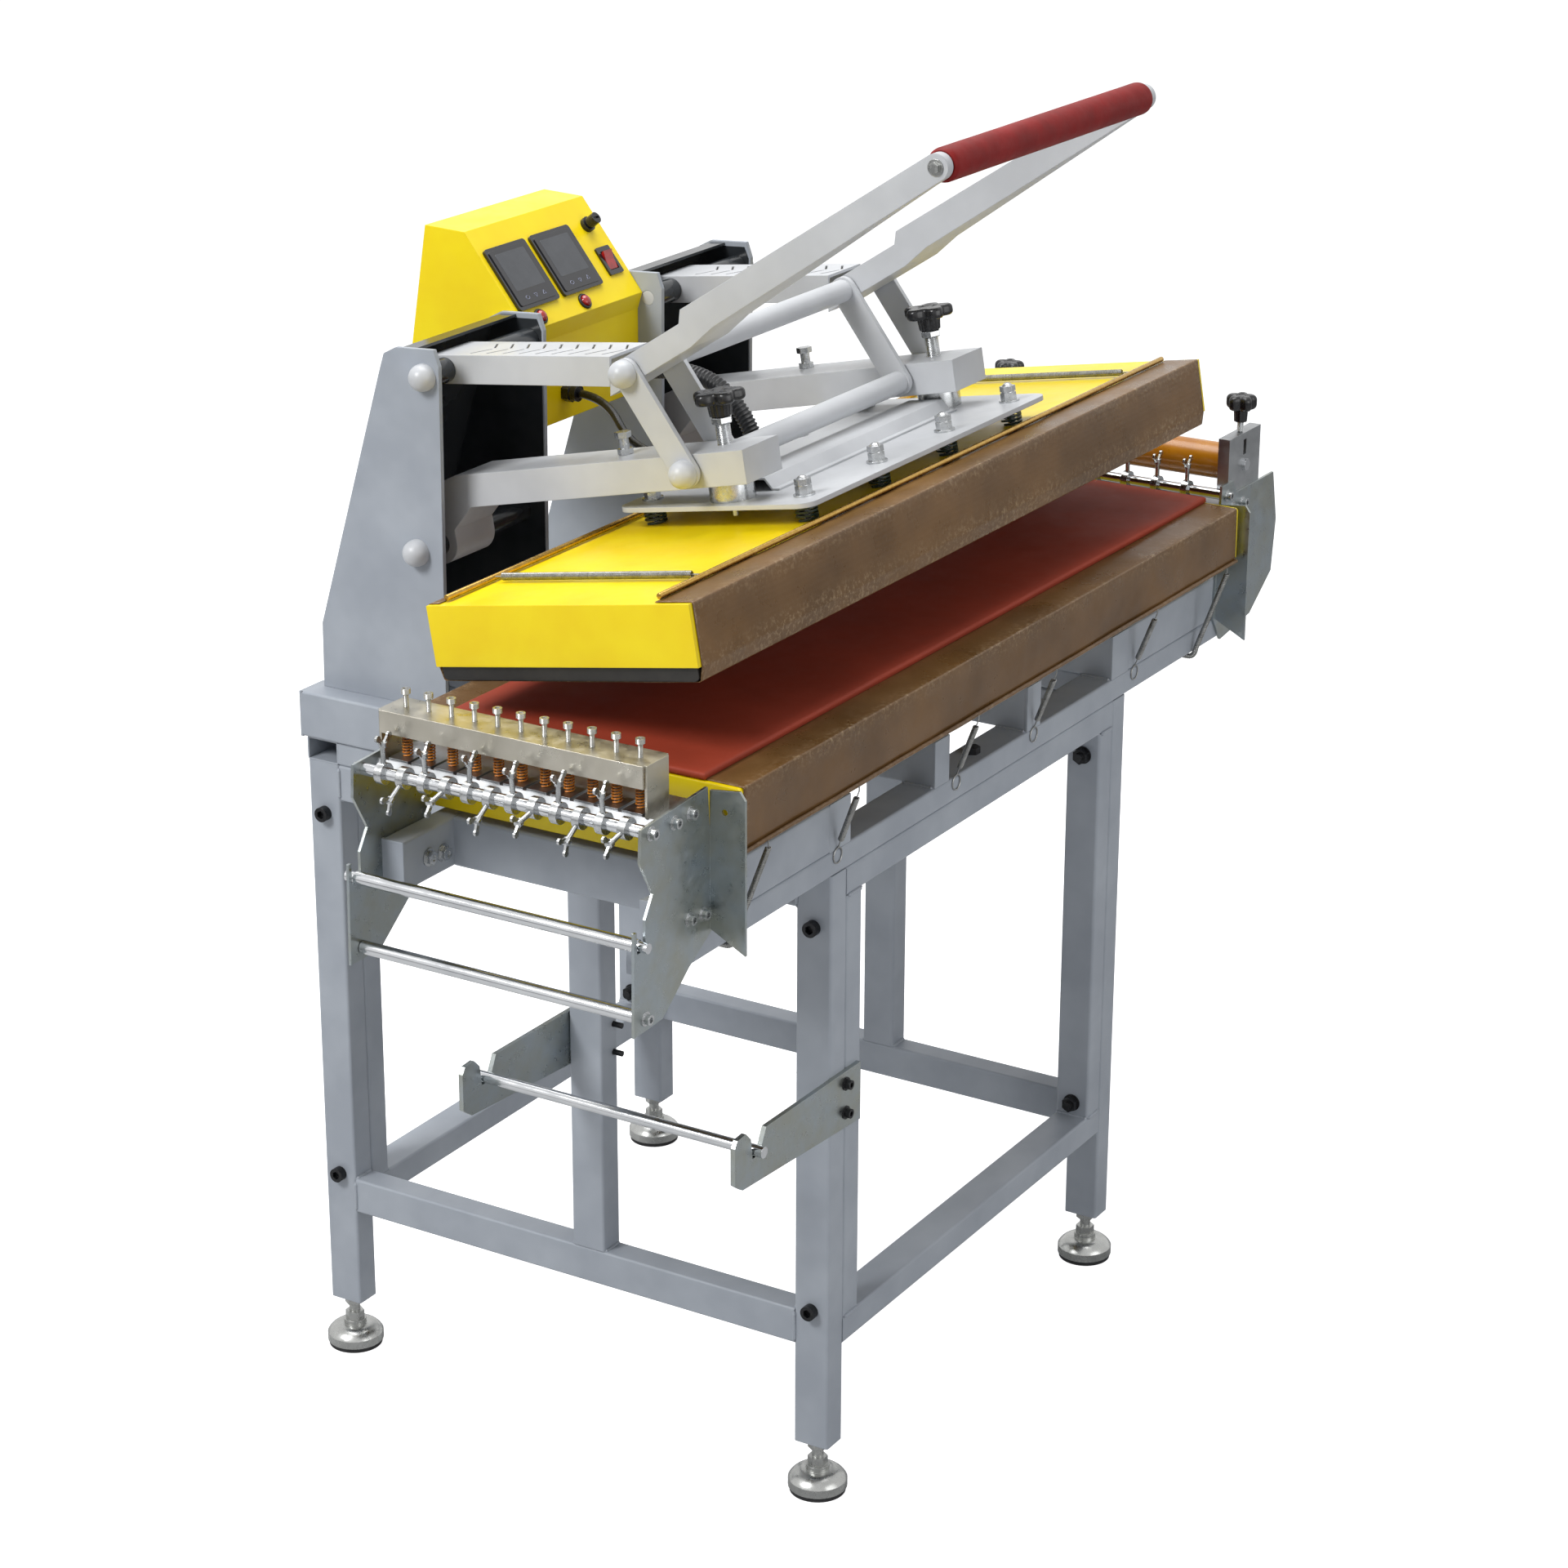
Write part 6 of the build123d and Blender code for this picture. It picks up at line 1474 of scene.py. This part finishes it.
                wave = 1 + 0.03 * ripple(place, 3 * place, 0.7)
                across = np.array([0.85, -0.3, 0.43])
            shape = Shape().tube(smooth, round_section(radius, 20), across, wave)
            tube = shape.build(name, finish, "", slot, [node], 70.0)
            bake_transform(tube)

    def build(self) -> None:
        """Build the box."""
        dress(["control_box"], YELLOW_PAINT)
        dress(["controllers"], PANEL_GLASS)
        dress(["power_rocker"], RED_LENS)
        dress(["fuse_cap", "cable_glands"], BLACK_MOULDED)
        self.build_fronts()
        self.build_lamps()
        self.build_leads()


@dataclass
class Stations:
    """Ribbon stations at both ends and the roll holder."""

    tension_x: float = -0.605
    first_y: float = -0.028
    pitch: float = 0.026
    count: int = 11
    spring_low: float = 0.852
    spring_high: float = 0.8975
    knob_x: float = 0.612
    knob_y: tuple[float, float] = (-0.313, -0.012)
    block_top: float = 0.925

    def build_springs(self) -> None:
        """Build the close springs round the set screws."""
        shape = Shape()
        for number in range(self.count):
            y = self.first_y - number * self.pitch
            low = (self.tension_x, y, self.spring_low + 0.8 * MM)
            high = (self.tension_x, y, self.spring_high - 0.8 * MM)
            coil(shape, low, high, 4.5 * MM, round_section(0.85 * MM, 7), turns=15, steps=14)
        shape.build("ribbon_springs", ORANGE_WIRE, "base", "spring_paint", ["tension_springs"], 60.0)

    def build_nip_knobs(self) -> None:
        """Build the star knobs on the bearing blocks with their stems."""
        for name, y in zip(("front", "back"), self.knob_y):
            seat = np.array([self.knob_x, y, self.block_top + 0.2 * MM])
            body = name + "_nip_screw"
            thread = threaded(seat, (0, 0, 1), 3.9 * MM, 13 * MM, 1.0 * MM)
            stem = Shape().grid(thread, closed=True, capped=True)
            stem.build(name + "_nip_thread", BRIGHT_ZINC, body, "turned_steel", [], 50.0)
            knob = Shape()
            star_knob(knob, seat + [0, 0, 11.8 * MM], UPRIGHT, 0.018, 0.017, 0.0142)
            knob.build(name + "_nip_star_knob", BLACK_MOULDED, body, "black_plastic",
                       ["nip_knob_" + name], 35.0)

    def build(self) -> None:
        """Dress the stations and build their springs and knobs."""
        dress(["station_brackets", "roll_arms"], ZINC_PLATE)
        dress(["tension_bar"], BRUSHED_STEEL)
        dress(["feed_bars", "bearing_blocks"], MILLED_ALUMINIUM)
        dress(["guide_rods", "near_upper_roller", "near_lower_roller", "roll_rod", "roller_core"], BRIGHT_ROD)
        dress(["guide_collars", "wing_screws", "station_screws"], BRIGHT_ZINC)
        dress(["tension_screws"], THREADED_STEEL)
        dress(["rubber_roller"], AMBER_RUBBER)
        self.build_springs()
        self.build_nip_knobs()


@dataclass
class Studio:
    """Pale floor, soft lamps and the camera of the photograph."""

    place: tuple[float, float, float] = (-3.2375, -2.0306, 2.0518)
    azimuth: float = -58.75
    elevation: float = 20.21
    roll: float = 0.147
    focal: float = 4596.2
    middle: tuple[float, float] = (954.1, 939.4)
    frame_size: float = 1920.0
    floor_half: float = 12.0
    floor_z: float = -0.0004

    def build_camera(self) -> None:
        """Place the camera, with its lens and its small shift."""
        data = bpy.data.cameras.new("photo_camera")
        data.sensor_fit = "HORIZONTAL"
        data.sensor_width = 36.0
        data.lens = self.focal * data.sensor_width / self.frame_size
        data.shift_x = (self.frame_size / 2 - self.middle[0]) / self.frame_size
        data.shift_y = (self.middle[1] - self.frame_size / 2) / self.frame_size
        data.clip_end = 60.0
        camera = bpy.data.objects.new("photo_camera", data)
        turn = Matrix.Rotation(math.radians(self.azimuth), 4, "Z")
        lean = Matrix.Rotation(math.radians(90 - self.elevation), 4, "X")
        spin = Matrix.Rotation(math.radians(self.roll), 4, "Z")
        camera.matrix_world = Matrix.Translation(self.place) @ turn @ lean @ spin
        bpy.context.scene.collection.objects.link(camera)
        bpy.context.scene.camera = camera

    def build_world(self) -> None:
        """Light the room softly, and show it white to the camera and to reflections."""
        world = bpy.data.worlds.new("studio")
        world.use_nodes = True
        tree = world.node_tree
        tree.nodes.clear()
        rays = add_node(tree, "ShaderNodeLightPath")
        seen = add_node(tree, "ShaderNodeMath", {"operation": "MAXIMUM"},
                        {0: rays.outputs["Is Camera Ray"], 1: rays.outputs["Is Glossy Ray"]})
        shown = add_node(tree, "ShaderNodeMath", {"operation": "MAXIMUM"},
                         {0: seen.outputs["Value"], 1: rays.outputs["Is Transmission Ray"]})
        soft = add_node(tree, "ShaderNodeBackground", {"Color": (0.93, 0.96, 1.0, 1.0), "Strength": 0.33})
        white = add_node(tree, "ShaderNodeBackground", {"Color": (1.0, 1.0, 1.0, 1.0), "Strength": 1.0})
        both = add_node(tree, "ShaderNodeMixShader", {},
                        {0: shown.outputs["Value"], 1: soft.outputs["Background"],
                         2: white.outputs["Background"]})
        add_node(tree, "ShaderNodeOutputWorld", links={"Surface": both.outputs["Shader"]})
        bpy.context.scene.world = world

    def build_floor(self) -> None:
        """Lay a pale floor that keeps a faint shadow."""
        material = bpy.data.materials.new("studio_floor")
        material.use_nodes = True
        tree = material.node_tree
        tree.nodes.clear()
        rays = add_node(tree, "ShaderNodeLightPath")
        paper = add_node(tree, "ShaderNodeBsdfDiffuse", {"Color": (0.62, 0.62, 0.62, 1.0)})
        glow = add_node(tree, "ShaderNodeEmission", {"Color": (1.0, 1.0, 1.0, 1.0), "Strength": 0.88})
        lit = add_node(tree, "ShaderNodeAddShader", {},
                       {0: paper.outputs["BSDF"], 1: glow.outputs["Emission"]})
        both = add_node(tree, "ShaderNodeMixShader", {},
                        {0: rays.outputs["Is Camera Ray"], 1: paper.outputs["BSDF"],
                         2: lit.outputs["Shader"]})
        add_node(tree, "ShaderNodeOutputMaterial", links={"Surface": both.outputs["Shader"]})
        data = bpy.data.meshes.new("studio_floor")
        half, z = self.floor_half, self.floor_z
        data.from_pydata([(-half, -half, z), (half, -half, z), (half, half, z), (-half, half, z)], [],
                         [(0, 1, 2, 3)])
        data.materials.append(material)
        floor = bpy.data.objects.new("studio_floor", data)
        bpy.context.scene.collection.objects.link(floor)

    def build_lamps(self) -> None:
        """Hang a large key lamp at the near end, a fill in front and a lamp above."""
        target = Vector((0.0, 0.0, 0.85))
        for name, spot, size, watts in (
            ("key", (-3.0, 1.1, 3.3), 1.2, 105.0),
            ("fill", (-0.6, -3.8, 1.9), 2.4, 36.0),
            ("above", (0.4, 0.4, 3.6), 2.2, 74.0),
        ):
            data = bpy.data.lights.new(name, "AREA")
            data.shape = "SQUARE"
            data.size = size
            data.energy = watts
            lamp = bpy.data.objects.new(name, data)
            lamp.location = spot
            lamp.rotation_euler = (target - Vector(spot)).to_track_quat("-Z", "Y").to_euler()
            bpy.context.scene.collection.objects.link(lamp)

    def build(self) -> None:
        """Build the studio."""
        bpy.context.scene.view_settings.view_transform = "Standard"
        self.build_camera()
        self.build_world()
        self.build_floor()
        self.build_lamps()


def main() -> None:
    """Build the press in order."""
    logging.basicConfig(level=logging.INFO, format="%(name)s: %(message)s")
    for part in (Studio(), ControlBox(), Stand(), LowerBed(), UpperPlaten(), Linkage(), Stations()):
        part.build()
        LOG.info("%s is ready", type(part).__name__)


if __name__ == "__main__":
    main()
